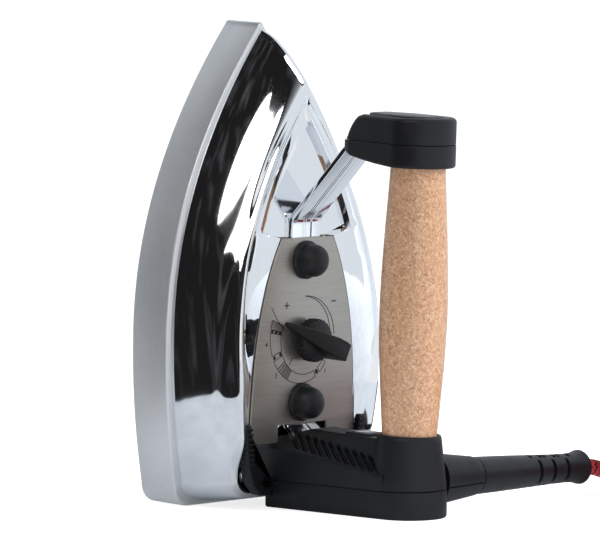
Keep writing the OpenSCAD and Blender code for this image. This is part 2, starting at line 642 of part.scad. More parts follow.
tie_at = 135;
tie_t = 0.8;
tie_h = layers * cord_d + 0.2;
module coil_tie() color(black) translate([coil_at[0], coil_at[1], 0]) rotate([0, 0, tie_at])
    translate([coil_r0 - 0.6 - tie_t, -4, 0]) difference() {
        cube([coil_r1 - coil_r0 + 0.8 + 2 * tie_t, 8, tie_h + 2 * tie_t]);
        translate([tie_t, -1, tie_t]) cube([coil_r1 - coil_r0 + 0.8, 10, tie_h]);
    }

plug_profile = [[0, 0], [5, 0], [5.6, 4], [7.4, 14], [11, 17], [16, 21], [plug_r, 26], [plug_r, 52],
    [17, 53], [0, 53]];
module along_plug() translate(plug_at) rotate([90 + plug_tilt, 0, 0]) children();
pin_y = 9.5;
module plug_body() color(black) along_plug() difference() {
    rotate_extrude($fn = fine) polygon(plug_profile);
    // side grooves of the earth contacts, and the pins' sockets
    for (a = [0, 180]) rotate([0, 0, a]) translate([14.6, -2.8, 36]) cube([6, 5.6, 20]);
    for (y = [-pin_y, pin_y]) translate([0, y, 46]) cylinder(h = 10, r = pin_r, $fn = small);
}
pin_r = 2.4;
module plug_pins() color([0.78, 0.76, 0.7]) along_plug() for (y = [-pin_y, pin_y]) translate([0, y, 46]) {
    cylinder(h = 24.5, r = pin_r - fit, $fn = small);
    translate([0, 0, 24.5]) cylinder(h = 1.5, r1 = pin_r - fit, r2 = 1.2, $fn = small);
}

soleplate();
heating_element();
element_clamp();
clamp_screws();
studs();
stud_spacers();
heat_shield();
thermostat_bracket();
thermostat_stack();
thermostat_bimetal();
thermostat_bush();
dial_spindle();
dial_knob();
hood();
heel_guards();
guard_screws();
handle_bracket();
dial_plate();
cap_nuts();
front_cap();
front_cap_lower();
front_cap_insert();
cork_grip();
handle_rod();
rod_nuts();
rear_housing();
rear_cover();
cover_screws();
pilot_lens();
pilot_lamp();
terminal_block();
terminal_screws();
lead_wires();
cord_clamp();
cord_clamp_screws();
cord_inner();
strain_relief();
cord();
cord_coil();
cord_tail();
coil_tie();
plug_body();
plug_pins();
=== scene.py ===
"""Dry iron standing on its heel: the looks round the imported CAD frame. Metres, Z up, the frame's own axes."""
import json
import math

import bmesh
import bpy
import numpy as np
from mathutils import Matrix, Vector

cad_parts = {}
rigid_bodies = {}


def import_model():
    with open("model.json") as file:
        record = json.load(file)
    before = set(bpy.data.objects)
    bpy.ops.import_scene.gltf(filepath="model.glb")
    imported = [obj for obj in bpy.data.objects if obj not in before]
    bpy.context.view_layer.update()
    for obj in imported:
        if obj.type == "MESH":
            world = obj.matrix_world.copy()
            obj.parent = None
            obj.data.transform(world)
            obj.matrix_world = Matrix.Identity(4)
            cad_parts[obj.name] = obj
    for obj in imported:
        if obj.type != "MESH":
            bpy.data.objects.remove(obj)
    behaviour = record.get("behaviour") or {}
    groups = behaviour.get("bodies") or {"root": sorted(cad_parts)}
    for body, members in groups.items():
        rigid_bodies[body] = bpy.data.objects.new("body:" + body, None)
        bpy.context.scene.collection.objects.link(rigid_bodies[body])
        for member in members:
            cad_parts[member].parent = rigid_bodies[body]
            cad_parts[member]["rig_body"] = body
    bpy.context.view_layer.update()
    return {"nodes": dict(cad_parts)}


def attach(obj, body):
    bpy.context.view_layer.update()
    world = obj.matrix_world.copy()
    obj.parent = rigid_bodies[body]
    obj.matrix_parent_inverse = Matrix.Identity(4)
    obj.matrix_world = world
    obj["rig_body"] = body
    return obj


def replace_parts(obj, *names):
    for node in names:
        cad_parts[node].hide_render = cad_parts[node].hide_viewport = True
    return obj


for stray in list(bpy.data.objects):
    bpy.data.objects.remove(stray)
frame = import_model()

MM = 0.001
LEAN = math.radians(2.0)
SOLE_T = 20.4
HALF_DEPTH = 66.6
# IRON takes the iron's own axes in millimetres (x from sole to handle, y sideways, z to the tip)
# to the frame's axes in metres, and ROW only takes millimetres to metres
IRON = (Matrix.Translation((-HALF_DEPTH * MM, 0, SOLE_T * math.sin(LEAN) * MM))
        @ Matrix.Rotation(LEAN, 4, "Y") @ Matrix.Scale(MM, 4))
ROW = Matrix.Scale(MM, 4)


# ---------------------------------------------------------------- camera
CAMERA_AZIMUTH, CAMERA_ELEVATION, CAMERA_ROLL = 42.46, 4.0, 0.29
CAMERA_DISTANCE, CAMERA_LENS, SENSOR_WIDTH = 2.2, 310.2, 36.0
CAMERA_AIM = Vector((-0.01265, -0.00391, 0.10105))


def direction(azimuth, elevation):
    """Unit vector from the object towards a place seen at this azimuth and elevation, in degrees."""
    a, e = math.radians(azimuth), math.radians(elevation)
    return Vector((math.sin(a) * math.cos(e), -math.cos(a) * math.cos(e), math.sin(e)))


def place_facing(name, data, aim, azimuth, elevation, distance, roll=0.0):
    """A camera or light that looks at aim from that far away."""
    obj = bpy.data.objects.new(name, data)
    bpy.context.scene.collection.objects.link(obj)
    back = direction(azimuth, elevation)
    rolled = Matrix.Rotation(math.radians(roll), 3, "Z").to_quaternion()
    obj.rotation_mode = "QUATERNION"
    obj.rotation_quaternion = (-back).to_track_quat("-Z", "Y") @ rolled
    obj.location = aim + back * distance
    return obj


def make_camera():
    data = bpy.data.cameras.new("camera")
    data.sensor_width, data.lens = SENSOR_WIDTH, CAMERA_LENS
    data.clip_start, data.clip_end = 0.05, 50
    bpy.context.scene.camera = place_facing("camera", data, CAMERA_AIM, CAMERA_AZIMUTH, CAMERA_ELEVATION,
                                            CAMERA_DISTANCE, CAMERA_ROLL)


make_camera()


# ---------------------------------------------------------------- node helpers
class Nodes:
    """Fills a node tree: n() adds a node. Sockets or values go in by input name, or as i0, i1 and so on."""

    def __init__(self, tree):
        self.tree = tree

    def put(self, socket, value):
        if isinstance(value, bpy.types.NodeSocket):
            self.tree.links.new(value, socket)
        elif isinstance(value, (tuple, list)) and len(value) == 3 and socket.type == "RGBA":
            socket.default_value = (*value, 1)
        else:
            socket.default_value = value

    def n(self, kind, out=0, settings=None, **values):
        node = self.tree.nodes.new("ShaderNode" + kind)
        for key, value in (settings or {}).items():
            setattr(node, key, value)
        for key, value in values.items():
            key = key.replace("_", " ")
            socket = node.inputs[int(key[1:])] if key[0] == "i" and key[1:].isdigit() else node.inputs[key]
            self.put(socket, value)
        return node.outputs[out]

    def end(self, kind, value):
        """The tree's output node."""
        self.put(self.tree.nodes.new("ShaderNode" + kind).inputs[0], value)

    def noise(self, at, scale, detail=3.0, rough=0.55):
        return self.n("TexNoise", Vector=at, Scale=scale, Detail=detail, Roughness=rough)

    def ramp(self, value, stops):
        """Colours or greys by position, from (position, colour) pairs."""
        out = self.n("ValToRGB", Fac=value)
        elements = out.node.color_ramp.elements
        while len(elements) < len(stops):
            elements.new(0.5)
        for element, (at, colour) in zip(elements, stops):
            element.position = at
            element.color = (*colour, 1) if isinstance(colour, (tuple, list)) else (colour, colour, colour, 1)
        return out

    def math(self, kind, a, b=0.0, c=0.0):
        return self.n("Math", settings={"operation": kind}, i0=a, i1=b, i2=c)

    def times(self, a, b):
        return self.math("MULTIPLY", a, b)

    def scaled(self, value, factor, offset):
        return self.math("MULTIPLY_ADD", value, factor, offset)

    def mix(self, fac, a, b, kind="MIX"):
        return self.n("Mix", out=2, settings={"data_type": "RGBA", "blend_type": kind}, i0=fac, i6=a, i7=b)


class Look(Nodes):
    """One procedural material."""

    def __init__(self, name, **shader):
        self.material = bpy.data.materials.new(name)
        self.material.use_nodes = True
        super().__init__(self.material.node_tree)
        self.bsdf = next(x for x in self.tree.nodes if x.type == "BSDF_PRINCIPLED")
        self.set(**shader)

    def set(self, **values):
        for key, value in values.items():
            self.put(self.bsdf.inputs[key.replace("_", " ")], value)

    def place(self, scale=(1, 1, 1), uv=False):
        """Object coordinates in metres, or UV, scaled."""
        return self.n("Mapping", Vector=self.n("TexCoord", out="UV" if uv else "Object"), Scale=scale)

    def spread(self, value, span, low, high):
        """The value's span taken to the range from low to high."""
        return self.n("MapRange", Value=value, From_Min=span[0], From_Max=span[1], To_Min=low, To_Max=high)

    def bump(self, height, distance, strength=1.0):
        self.set(Normal=self.n("Bump", Height=height, Distance=distance, Strength=strength))


# ---------------------------------------------------------------- mesh helpers
def piece(name, points, faces, look, body="iron", slot=None, replaces=(), space=IRON, sharp=35, uvs=None):
    """A mesh object from points in millimetres, placed, shaded, ridden and named."""
    mesh = bpy.data.meshes.new(name)
    mesh.from_pydata([space @ Vector(p) for p in points], [], faces)
    if uvs is not None:
        flat = [c for face in uvs for uv in face for c in uv]
        mesh.uv_layers.new(name="UVMap").data.foreach_set("uv", flat)
    mesh.materials.append(look.material)
    mesh.update()
    work = bmesh.new()
    work.from_mesh(mesh)
    bmesh.ops.recalc_face_normals(work, faces=work.faces)
    work.to_mesh(mesh)
    work.free()
    mesh.shade_smooth()
    mesh.set_sharp_from_angle(angle=math.radians(sharp))
    obj = bpy.data.objects.new(name, mesh)
    bpy.context.scene.collection.objects.link(obj)
    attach(obj, body)
    if replaces:
        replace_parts(obj, *([replaces] if isinstance(replaces, str) else replaces))
    return obj


def loft(rings, cap_start=True, cap_end=True):
    """Points and faces of a skin through closed rings of equal length. The caps are single faces."""
    n, last = len(rings[0]), (len(rings) - 1) * len(rings[0])
    points = [tuple(p) for r in rings for p in np.asarray(r, float)]
    faces = [(i * n + k, i * n + (k + 1) % n, (i + 1) * n + (k + 1) % n, (i + 1) * n + k)
             for i in range(len(rings) - 1) for k in range(n)]
    if cap_start:
        faces.append(tuple(range(n - 1, -1, -1)))
    if cap_end:
        faces.append(tuple(last + k for k in range(n)))
    return points, faces


def turned(sides):
    """Angles of the points of a ring."""
    return np.arange(sides) * 2 * math.pi / sides


def run_of(line):
    """Length along a line at each of its points."""
    return np.concatenate([[0], np.cumsum(np.linalg.norm(np.diff(line, axis=0), axis=1))])


def evenly(line, count):
    """The line with that many points, evenly spaced."""
    line = np.asarray(line)
    run = run_of(line)
    even = np.linspace(0, run[-1], count)
    return np.column_stack([np.interp(even, run, line[:, k]) for k in range(line.shape[1])])


def tangents_of(path):
    t = np.gradient(path, axis=0)
    return t / np.maximum(np.linalg.norm(t, axis=1), 1e-9)[:, None]


def tube(path, radius, sides):
    """Rings of a tube on a path, with a frame carried along it."""
    angles = turned(sides)
    tangents = tangents_of(path)
    side = np.cross(tangents[0], [0, 0, 1.0])
    rings = []
    for p, t in zip(path, tangents):
        side = side - t * (side @ t)
        side /= np.linalg.norm(side)
        up = np.cross(side, t)
        rings.append(p + radius * (np.cos(angles)[:, None] * side + np.sin(angles)[:, None] * up))
    return rings


def tube_uvs(run, sides, faces):
    """UV in metres along the tube and 0 to 1 around it, for the faces that loft() gives."""
    out = []
    for face in faces:
        if len(face) != 4:
            out.append([(0.0, 0.0)] * len(face))
            continue
        i, k = divmod(face[0], sides)
        low, high = k / sides, (k + 1) / sides
        out.append([(run[i], low), (run[i], high), (run[i + 1], high), (run[i + 1], low)])
    return out


def smooth_step(a, b, c, d, t):
    """Point at t between b and c of a smooth line (Catmull-Rom) through four points."""
    return 0.5 * (2 * b + (c - a) * t + (2 * a - 5 * b + 4 * c - d) * t * t
                  + (3 * b - a - 3 * c + d) * t ** 3)


def spline(points, step):
    """A smooth line through the points, in even steps of about `step`."""
    p = np.asarray(points, float)
    p = np.vstack([2 * p[0] - p[1], p, 2 * p[-1] - p[-2]])
    fine = []
    for i in range(1, len(p) - 2):
        count = max(2, int(np.linalg.norm(p[i + 1] - p[i]) / step * 2))
        fine += [smooth_step(*p[i - 1:i + 3], t) for t in np.arange(count) / count]
    fine.append(p[-2])
    return evenly(fine, max(2, int(round(run_of(np.array(fine))[-1] / step)) + 1))


# ---------------------------------------------------------------- looks
def sole_look():
    """Cast metal, linished along the iron, with a cloudy tone and fine pits."""
    look = Look("sole_metal", Metallic=0.72)
    cloud = look.noise(look.place(), 30.0, 4)
    streak = look.noise(look.place(scale=(1500, 1500, 70)), 1.0, 3)
    pit = look.noise(look.place(scale=(900, 900, 420)), 1.0, 2)
    base = look.ramp(cloud, [(0.3, (0.60, 0.615, 0.635)), (0.7, (0.70, 0.71, 0.725))])
    brushed = look.mix(look.times(streak, 0.4), base, (0.84, 0.85, 0.87))
    spots = look.ramp(pit, [(0.68, 0.0), (0.78, 1.0)])
    look.set(Base_Color=look.mix(look.times(spots, 0.35), brushed, (0.85, 0.86, 0.87)),
             Roughness=look.scaled(streak, 0.16, 0.3), Anisotropic=0.35)
    look.bump(look.math("ADD", streak, look.times(pit, 0.4)), 0.00004, 0.5)
    return look


def chrome_look(name="chrome", tint=(0.90, 0.91, 0.93), low=0.025, high=0.075, dust=0.5):
    """Polished chrome: roughness that wanders from low to high, faint waves and specks of dust."""
    look = Look(name, Metallic=1.0)
    smear = look.noise(look.place(scale=(1, 1, 0.6)), 24.0, 5)
    specks = look.ramp(look.noise(look.place(), 1500.0, 2), [(0.735, 0.0), (0.765, 1.0)])
    rough = look.math("ADD", look.spread(smear, (0.35, 0.72), low, high), look.times(specks, 0.3 * dust))
    look.set(Base_Color=look.mix(look.times(specks, 0.5 * dust), tint, (0.98, 0.98, 0.98)), Roughness=rough)
    look.bump(look.noise(look.place(), 38.0, 2), 0.0004, 0.055)
    return look


def plate_look():
    """Brushed plate, a little warm."""
    look = Look("dial_plate", Metallic=0.92)
    line = look.noise(look.place(scale=(900, 55, 1500)), 1.0, 3)
    cloud = look.noise(look.place(), 18.0, 3)
    base = look.ramp(line, [(0.25, (0.36, 0.35, 0.335)), (0.75, (0.47, 0.455, 0.435))])
    look.set(Base_Color=look.mix(look.times(cloud, 0.5), base, (0.46, 0.41, 0.34)),
             Roughness=look.scaled(line, 0.12, 0.32), Anisotropic=0.25)
    look.bump(line, 0.00003, 0.4)
    return look


def plastic_look(name, colour, rough=(0.34, 0.5), grain=900.0, depth=0.00003, scuff=0.25):
    """Moulded plastic with a fine grain and paler rubbed places."""
    look = Look(name, Specular_IOR_Level=0.38)
    tone = look.noise(look.place(), 60.0, 4)
    light = tuple(min(1, c * 1.9 + 0.005) for c in colour)
    rub = look.ramp(tone, [(0.52, 0.0), (0.8, 1.0)])
    look.set(Base_Color=look.mix(look.times(rub, scuff), colour, light),
             Roughness=look.spread(tone, (0.3, 0.7), *rough))
    look.bump(look.noise(look.place(), grain, 2), depth, 0.6)
    return look


def cork_look():
    """Pressed cork: two sizes of granule with dark joints and flecks, under a thin wrinkled film."""
    look = Look("cork", Specular_IOR_Level=0.4)
    place = look.place(scale=(1, 1, 0.85))
    warp = look.n("TexNoise", out=1, Vector=place, Scale=600.0, Detail=2.0)
    bent = look.n("VectorMath", settings={"operation": "MULTIPLY_ADD"}, i0=warp, i1=(0.0008,) * 3, i2=place)
    large = look.n("TexVoronoi", Vector=bent, Scale=1080.0, Randomness=1.0)
    small = look.n("TexVoronoi", Vector=bent, Scale=2300.0)
    joint = look.n("TexVoronoi", Vector=bent, Scale=1080.0, settings={"feature": "DISTANCE_TO_EDGE"})
    large_tone, small_tone = [look.n("SeparateColor", Color=x.node.outputs["Color"]) for x in (large, small)]
    base = look.ramp(large_tone, [(0.0, (0.34, 0.165, 0.08)), (0.3, (0.46, 0.245, 0.13)),
                                  (0.62, (0.53, 0.30, 0.17)), (1.0, (0.66, 0.42, 0.27))])
    grains = look.ramp(small_tone, [(0.0, (0.26, 0.115, 0.05)), (0.35, (0.48, 0.26, 0.14)),
                                    (1.0, (0.70, 0.46, 0.30))])
    crack = look.ramp(joint, [(0.0, 1.0), (0.09, 0.0)])
    fleck = look.ramp(look.noise(place, 1150.0, 3), [(0.59, 0.0), (0.67, 1.0)])
    cracked = look.mix(look.times(crack, 0.32), look.mix(0.42, base, grains), (0.30, 0.15, 0.065))
    wrap = look.noise(look.place(scale=(90, 90, 26)), 1.0, 3)
    look.set(Base_Color=look.mix(look.times(fleck, 0.5), cracked, (0.24, 0.115, 0.05)), Roughness=0.62,
             Coat_Weight=0.7, Coat_Roughness=0.1,
             Coat_Normal=look.n("Bump", Height=wrap, Distance=0.0012, Strength=0.35))
    look.bump(look.math("SUBTRACT", look.times(joint, 0.5), look.times(fleck, 0.3)), 0.0004, 0.55)
    return look


def metal_look(name, colour, rough=0.3):
    """Plain metal with a clouded tone and a fine drawn grain."""
    look = Look(name, Metallic=1.0)
    field = look.noise(look.place(), 140.0, 3)
    look.set(Base_Color=look.mix(field, tuple(c * 0.78 for c in colour), colour),
             Roughness=look.scaled(field, 0.18, rough - 0.09))
    look.bump(look.noise(look.place(scale=(1, 1, 0.2)), 1600.0, 2), 0.00002, 0.4)
    return look


def plain_look(name, colour, rough=0.6, bump=0.00005, grain=500.0):
    """A matt or glazed stuff with a clouded tone and a grain."""
    look = Look(name)
    field = look.noise(look.place(), 90.0, 4)
    look.set(Base_Color=look.mix(field, tuple(c * 0.72 for c in colour), colour),
             Roughness=look.scaled(field, 0.15, rough - 0.07))
    look.bump(look.noise(look.place(), grain, 3), bump, 0.6)
    return look


def lens_look():
    look = Look("pilot_lens", Transmission_Weight=0.15, IOR=1.5)
    field = look.noise(look.place(), 200.0, 2)
    look.set(Base_Color=look.mix(field, (0.022, 0.003, 0.003), (0.04, 0.004, 0.004)),
             Roughness=look.scaled(field, 0.1, 0.1))
    return look


SOLE = sole_look()
CHROME = chrome_look()
STRAP = chrome_look("strap_chrome", (0.86, 0.88, 0.91), 0.05, 0.13, 0.3)
PLATE = plate_look()
INK = plain_look("dial_ink", (0.012, 0.012, 0.013), 0.5)
CAP = plastic_look("cap_plastic", (0.0045, 0.0048, 0.006), (0.36, 0.5))
HOUSING = plastic_look("housing_plastic", (0.0045, 0.0055, 0.0075), (0.42, 0.56), grain=1200.0, depth=0.00005)
KNOB = plastic_look("knob_plastic", (0.004, 0.0043, 0.0055), (0.38, 0.5))
NUT = plastic_look("nut_plastic", (0.007, 0.0075, 0.009), (0.42, 0.55))
GUARD = plastic_look("guard_plastic", (0.004, 0.0045, 0.0055), (0.3, 0.42))
BOOT = plastic_look("boot_rubber", (0.007, 0.008, 0.0105), (0.36, 0.48), grain=700.0)
PLUG = plastic_look("plug_plastic", (0.014, 0.014, 0.016), (0.38, 0.5))
INSET = plastic_look("inset_plastic", (0.035, 0.037, 0.042), (0.3, 0.42), scuff=0.5)
CORK = cork_look()
STEEL = metal_look("steel", (0.66, 0.67, 0.69), 0.3)
BLACK_STEEL = metal_look("black_steel", (0.03, 0.03, 0.034), 0.42)
BRASS = metal_look("brass", (0.78, 0.58, 0.26), 0.28)
NICKEL = metal_look("nickel", (0.78, 0.76, 0.72), 0.2)
SHIELD = metal_look("shield_metal", (0.74, 0.74, 0.72), 0.42)
ELEMENT = plain_look("element_sheath", (0.13, 0.115, 0.11), 0.45)
CERAMIC = plain_look("ceramic", (0.80, 0.77, 0.69), 0.38)
LEAD = plain_look("lead_sleeve", (0.72, 0.69, 0.60), 0.55)
TIE = plain_look("tie_strap", (0.02, 0.02, 0.022), 0.6, 0.0002, 900.0)
LENS = lens_look()
LAMP = plain_look("lamp_glass", (0.85, 0.45, 0.22), 0.2)


# ---------------------------------------------------------------- shape helpers
def corner_curve(start, corner, end, steps):
    """Points of a rounded corner between a point on each of its sides."""
    return [(1 - t) ** 2 * start + 2 * t * (1 - t) * corner + t * t * end for t in np.linspace(0, 1, steps)]


def rounded(points, radius, steps=7):
    """A closed outline with its corners rounded; radius is one number or one for each corner."""
    p = [np.array(q, float) for q in points]
    out = []
    for i, corner in enumerate(p):
        a, b = p[i - 1] - corner, p[(i + 1) % len(p)] - corner
        r = radius[i] if hasattr(radius, "__len__") else radius
        la, lb = np.linalg.norm(a), np.linalg.norm(b)
        half = math.acos(max(-1, min(1, float(a @ b / la / lb)))) / 2
        if r <= 0 or half > 1.55:
            out.append(corner)
            continue
        reach = min(r / math.tan(half), 0.48 * la, 0.48 * lb)
        out += corner_curve(corner + a / la * reach, corner, corner + b / lb * reach, steps)
    return np.array(out)


def dense(outline, step):
    """The closed outline with points added so that none are further apart than step."""
    p = np.asarray(outline, float)
    out = []
    for a, b in zip(p, np.roll(p, -1, 0)):
        count = max(1, int(math.ceil(np.linalg.norm(b - a) / step)))
        out += [a + (b - a) * t for t in np.arange(count) / count]
    return np.array(out)


def moved_in(outline, d):
    """The closed outline moved inwards by d along its normals."""
    p = np.asarray(outline, float)
    area = 0.5 * np.sum(p[:, 0] * np.roll(p[:, 1], -1) - np.roll(p[:, 0], -1) * p[:, 1])
    e = np.roll(p, -1, 0) - p
    e /= np.maximum(np.linalg.norm(e, axis=1), 1e-9)[:, None]
    n = np.column_stack([e[:, 1], -e[:, 0]]) * (1 if area > 0 else -1)
    both = n + np.roll(n, 1, 0)
    both /= np.maximum(np.linalg.norm(both, axis=1), 1e-9)[:, None]
    return p - both * (d / np.maximum(np.sum(both * n, 1), 0.6))[:, None]


def across(a, b, h):
    """Outline points (a, b) as sideways and along the iron, h as height over the sole's face."""
    return np.column_stack([h, a, b])


def upright(a, b, h):
    """Outline points (a, b) as height over the sole and sideways, h along the iron."""
    return np.column_stack([a, b, h])


def slab(outline, low, high, r_low=0.3, r_high=0.3, to=across, steps=5):
    """A plate with rounded edges between two heights, which may be functions of the outline's points."""
    p = np.asarray(outline, float)
    lo, hi = [np.array([h(*q) for q in p]) if callable(h) else np.full(len(p), float(h)) for h in (low, high)]
    rings = []
    for r, base, sign in ((r_low, lo, 1), (r_high, hi, -1)):
        edge = []
        for t in np.linspace(0, math.pi / 2, steps):
            q = moved_in(p, r * (1 - math.sin(t)))
            edge.append(to(q[:, 0], q[:, 1], base + sign * r * (1 - math.cos(t))))
        rings += edge if sign > 0 else edge[::-1]
    return loft(rings)


def lathe(profile, sides, to, closed=False):
    """Profile points (radius, height) turned about the height axis; closed joins the last to the first."""
    a = turned(sides)
    rings = [to(np.column_stack([r * np.cos(a), r * np.sin(a), np.full(sides, h)])) for r, h in profile]
    if closed:
        n = len(rings) * sides
        points, faces = loft(rings + [rings[0]], False, False)
        return points[:n], [tuple(k % n for k in f) for f in faces]
    return loft(rings)


def joined(*parts):
    """Several (points, faces) as one."""
    points, faces = [], []
    for p, f in parts:
        base = len(points)
        points += [tuple(q) for q in p]
        faces += [tuple(k + base for k in face) for face in f]
    return points, faces


def smooth_profile(points, step=0.5):
    """A smooth run of profile points."""
    return [tuple(q) for q in spline(points, step)]


def run_at(table, x):
    """Value at x of a line through (x, value) points."""
    xs, values = zip(*table)
    return float(np.interp(x, xs, values))


COPY_EDGE_ANGLE, COPY_SHARP_ANGLE = 32, 40


def solid_copy(node, name, look, bevel, segments=2):
    """The CAD node's own shape with softened edges, as a piece that replaces it."""
    source = frame["nodes"][node]
    mesh = source.data.copy()
    mesh.materials.clear()
    mesh.materials.append(look.material)
    work = bmesh.new()
    work.from_mesh(mesh)
    bmesh.ops.remove_doubles(work, verts=work.verts, dist=1e-6)
    bmesh.ops.dissolve_limit(work, angle_limit=math.radians(1.0), verts=work.verts, edges=work.edges)
    edges = [e for e in work.edges
             if len(e.link_faces) == 2 and e.calc_face_angle(0) > math.radians(COPY_EDGE_ANGLE)]
    bmesh.ops.bevel(work, geom=edges, offset=bevel * MM, segments=segments, profile=0.5, affect="EDGES",
                    clamp_overlap=True)
    work.to_mesh(mesh)
    work.free()
    for attribute in ("custom_normal", "sharp_face"):
        if mesh.attributes.get(attribute):
            mesh.attributes.remove(mesh.attributes[attribute])
    mesh.shade_smooth()
    mesh.set_sharp_from_angle(angle=math.radians(COPY_SHARP_ANGLE))
    mesh.name = name
    obj = bpy.data.objects.new(name, mesh)
    bpy.context.scene.collection.objects.link(obj)
    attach(obj, source["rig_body"])
    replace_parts(obj, node)


def dress(look, *nodes):
    """Gives CAD nodes that keep their shape a procedural look."""
    for node in nodes:
        for slot in frame["nodes"][node].material_slots:
            slot.material = look.material


# ---------------------------------------------------------------- sole
SOLE_LEN, HALF_W, WIDEST, HEEL_R = 206.6, 53.4, 76.0, 9.0
HEEL_TAPER, TIP_POWER = 0.187, 2.04
TIP_ROUND = 1.6


def half_width(z):
    if z > WIDEST:
        return HALF_W * (1 - ((z - WIDEST) / (SOLE_LEN - WIDEST)) ** TIP_POWER)
    return HALF_W * (1 - HEEL_TAPER * ((WIDEST - z) / WIDEST) ** 2)


def sole_outline():
    """Closed outline (sideways, along) of the sole, with a slightly rounded tip."""
    corner, top = half_width(HEEL_R) - HEEL_R, SOLE_LEN - TIP_ROUND
    right = [(y, 0.0) for y in np.linspace(0, corner, 14)[1:-1]]
    right += [(corner + HEEL_R * math.cos(a), HEEL_R + HEEL_R * math.sin(a))
              for a in np.radians(np.arange(-90, 0, 7.5))]
    right += [(half_width(z), z) for z in np.linspace(HEEL_R, top, 110)]
    right += [(half_width(top) * math.cos(a), top + 0.62 * TIP_ROUND * math.sin(a))
              for a in np.radians([20, 45, 70])]
    left = [(-y, z) for y, z in reversed(right)]
    return np.array([(0.0, 0.0)] + right + [(0.0, top + 0.62 * TIP_ROUND)] + left)


OUTLINE = sole_outline()
piece("soleplate_body", *slab(OUTLINE, 0.0, SOLE_T, 0.9, 1.1), SOLE, slot="soleplate", replaces="soleplate",
      sharp=50)

# ---------------------------------------------------------------- dial plate's outline and the hood
PLATE_X, PLATE_UNDER = 50.9, 49.9
DIAL_Z = 72.4
PLATE_SIDE = smooth_profile([(32.4, 36), (31.9, 48), (30.8, 64), (28.7, 79), (26.7, 88), (23.9, 98), (20.0, 108),
                             (16.1, 116)], 2.0)

HOOD_FLOOR, SLOPE_END = 47.4, 50.4
# level of the hood's crest over the sole's face, along the iron
CREST = [(0, 48.2), (14, 48.2), (34, 55.0), (51.5, 55.7), (63, 55.2), (86, 53.8), (108, 52.0), (121, 51.4),
         (147, 49.6), (172, 48.2), (200, 47.9)]
# squeeze sideways, start and end along the iron, height over the sole's face, or from the crest
HOOD_RINGS = [(0.946, 3.0, 203.6, SOLE_T + 0.1, False), (0.944, 3.1, 203.2, 22.0, False),
              (0.934, 3.4, 200.6, 27.5, False), (0.915, 4.1, 195.4, 34.5, False),
              (0.888, 4.9, 189.0, 41.0, False), (0.858, 5.8, 183.0, 46.5, False), (0.836, 6.6, 179.6, -1.9, True),
              (0.820, 7.4, 177.8, -0.3, True), (0.806, 8.2, 176.6, 0.0, True), (0.792, 9.2, 175.4, -0.35, True),
              (0.776, 10.4, 173.6, -0.9, True)]
HOOD_UNDER_RINGS = [(0.655, 18.5, 161.0, HOOD_FLOOR - 0.8, False), (0.82, 9.0, 172.0, 43.5, False),
                    (0.89, 6.0, 190.0, 34.0, False), (0.925, 5.0, 199.0, SOLE_T + 0.1, False)]
RINGS_BETWEEN = 8
SLOPE_SAG, PLATE_GAP = 0.35, 0.7
RECESS_FROM, RECESS_OPEN, RECESS_WIDTH = 116.5, 123.0, 99


def eased(t):
    return t * t * (3 - 2 * t)


def crest_at(z):
    """Level of the hood's crest; it rises in a smooth step over the heel corners."""
    rise_from, rise_to = CREST[1], CREST[2]
    if rise_from[0] < z <= rise_to[0]:
        share = eased((z - rise_from[0]) / (rise_to[0] - rise_from[0]))
        return rise_from[1] + (rise_to[1] - rise_from[1]) * share
    return run_at(CREST, z)


def hood_ring(squeeze, z0, z1, level, on_crest):
    z = z0 + (z1 - z0) * OUTLINE[:, 1] / SOLE_LEN
    x = np.array([max(crest_at(q) + level, HOOD_FLOOR + 0.1) if on_crest else level for q in z])
    return np.column_stack([x, OUTLINE[:, 0] * squeeze, z])


def slope_foot():
    """Where the inner slope ends: along the dial plate, and round the recess ahead of it."""
    foot = hood_ring(0.70, 15.0, 166.0, SLOPE_END, False)
    beside = np.interp(foot[:, 2], [q[1] for q in PLATE_SIDE], [q[0] for q in PLATE_SIDE]) + PLATE_GAP
    opening = eased(np.clip((foot[:, 2] - RECESS_FROM) / (RECESS_OPEN - RECESS_FROM), 0, 1))
    width = np.minimum(np.abs(foot[:, 1]), beside + (RECESS_WIDTH - beside) * opening)
    foot[:, 1] = np.sign(foot[:, 1]) * width
    return foot


def make_hood():
    control = [hood_ring(*r) for r in HOOD_RINGS]
    padded = [control[0]] + control + [control[-1]]
    rings = [control[0]]
    for i in range(1, len(padded) - 2):
        rings += [smooth_step(*padded[i - 1:i + 3], (k + 1) / RINGS_BETWEEN) for k in range(RINGS_BETWEEN)]
    crest_edge, foot = rings[-1], slope_foot()
    for t in (0.25, 0.5, 0.75, 0.93):
        between = crest_edge + (foot - crest_edge) * t
        between[:, 0] -= SLOPE_SAG * math.sin(math.pi * t)
        rings.append(between)
    floor = foot.copy()
    floor[:, 0] = HOOD_FLOOR
    floor[:, 1] *= 0.97
    outer, outer_faces = loft(rings + [foot, floor], cap_start=False)
    # a second skin below, down to the sole, joined to the outer one along the hood's lower edge
    under, under_faces = loft([hood_ring(*r) for r in HOOD_UNDER_RINGS], cap_end=False)
    base, n = len(outer), len(OUTLINE)
    last = base + (len(HOOD_UNDER_RINGS) - 1) * n
    faces = outer_faces + [tuple(k + base for k in f) for f in under_faces]
    faces += [(k, (k + 1) % n, last + (k + 1) % n, last + k) for k in range(n)]
    piece("hood_shell", outer + under, faces, CHROME, slot="hood", replaces="hood", sharp=50)


make_hood()


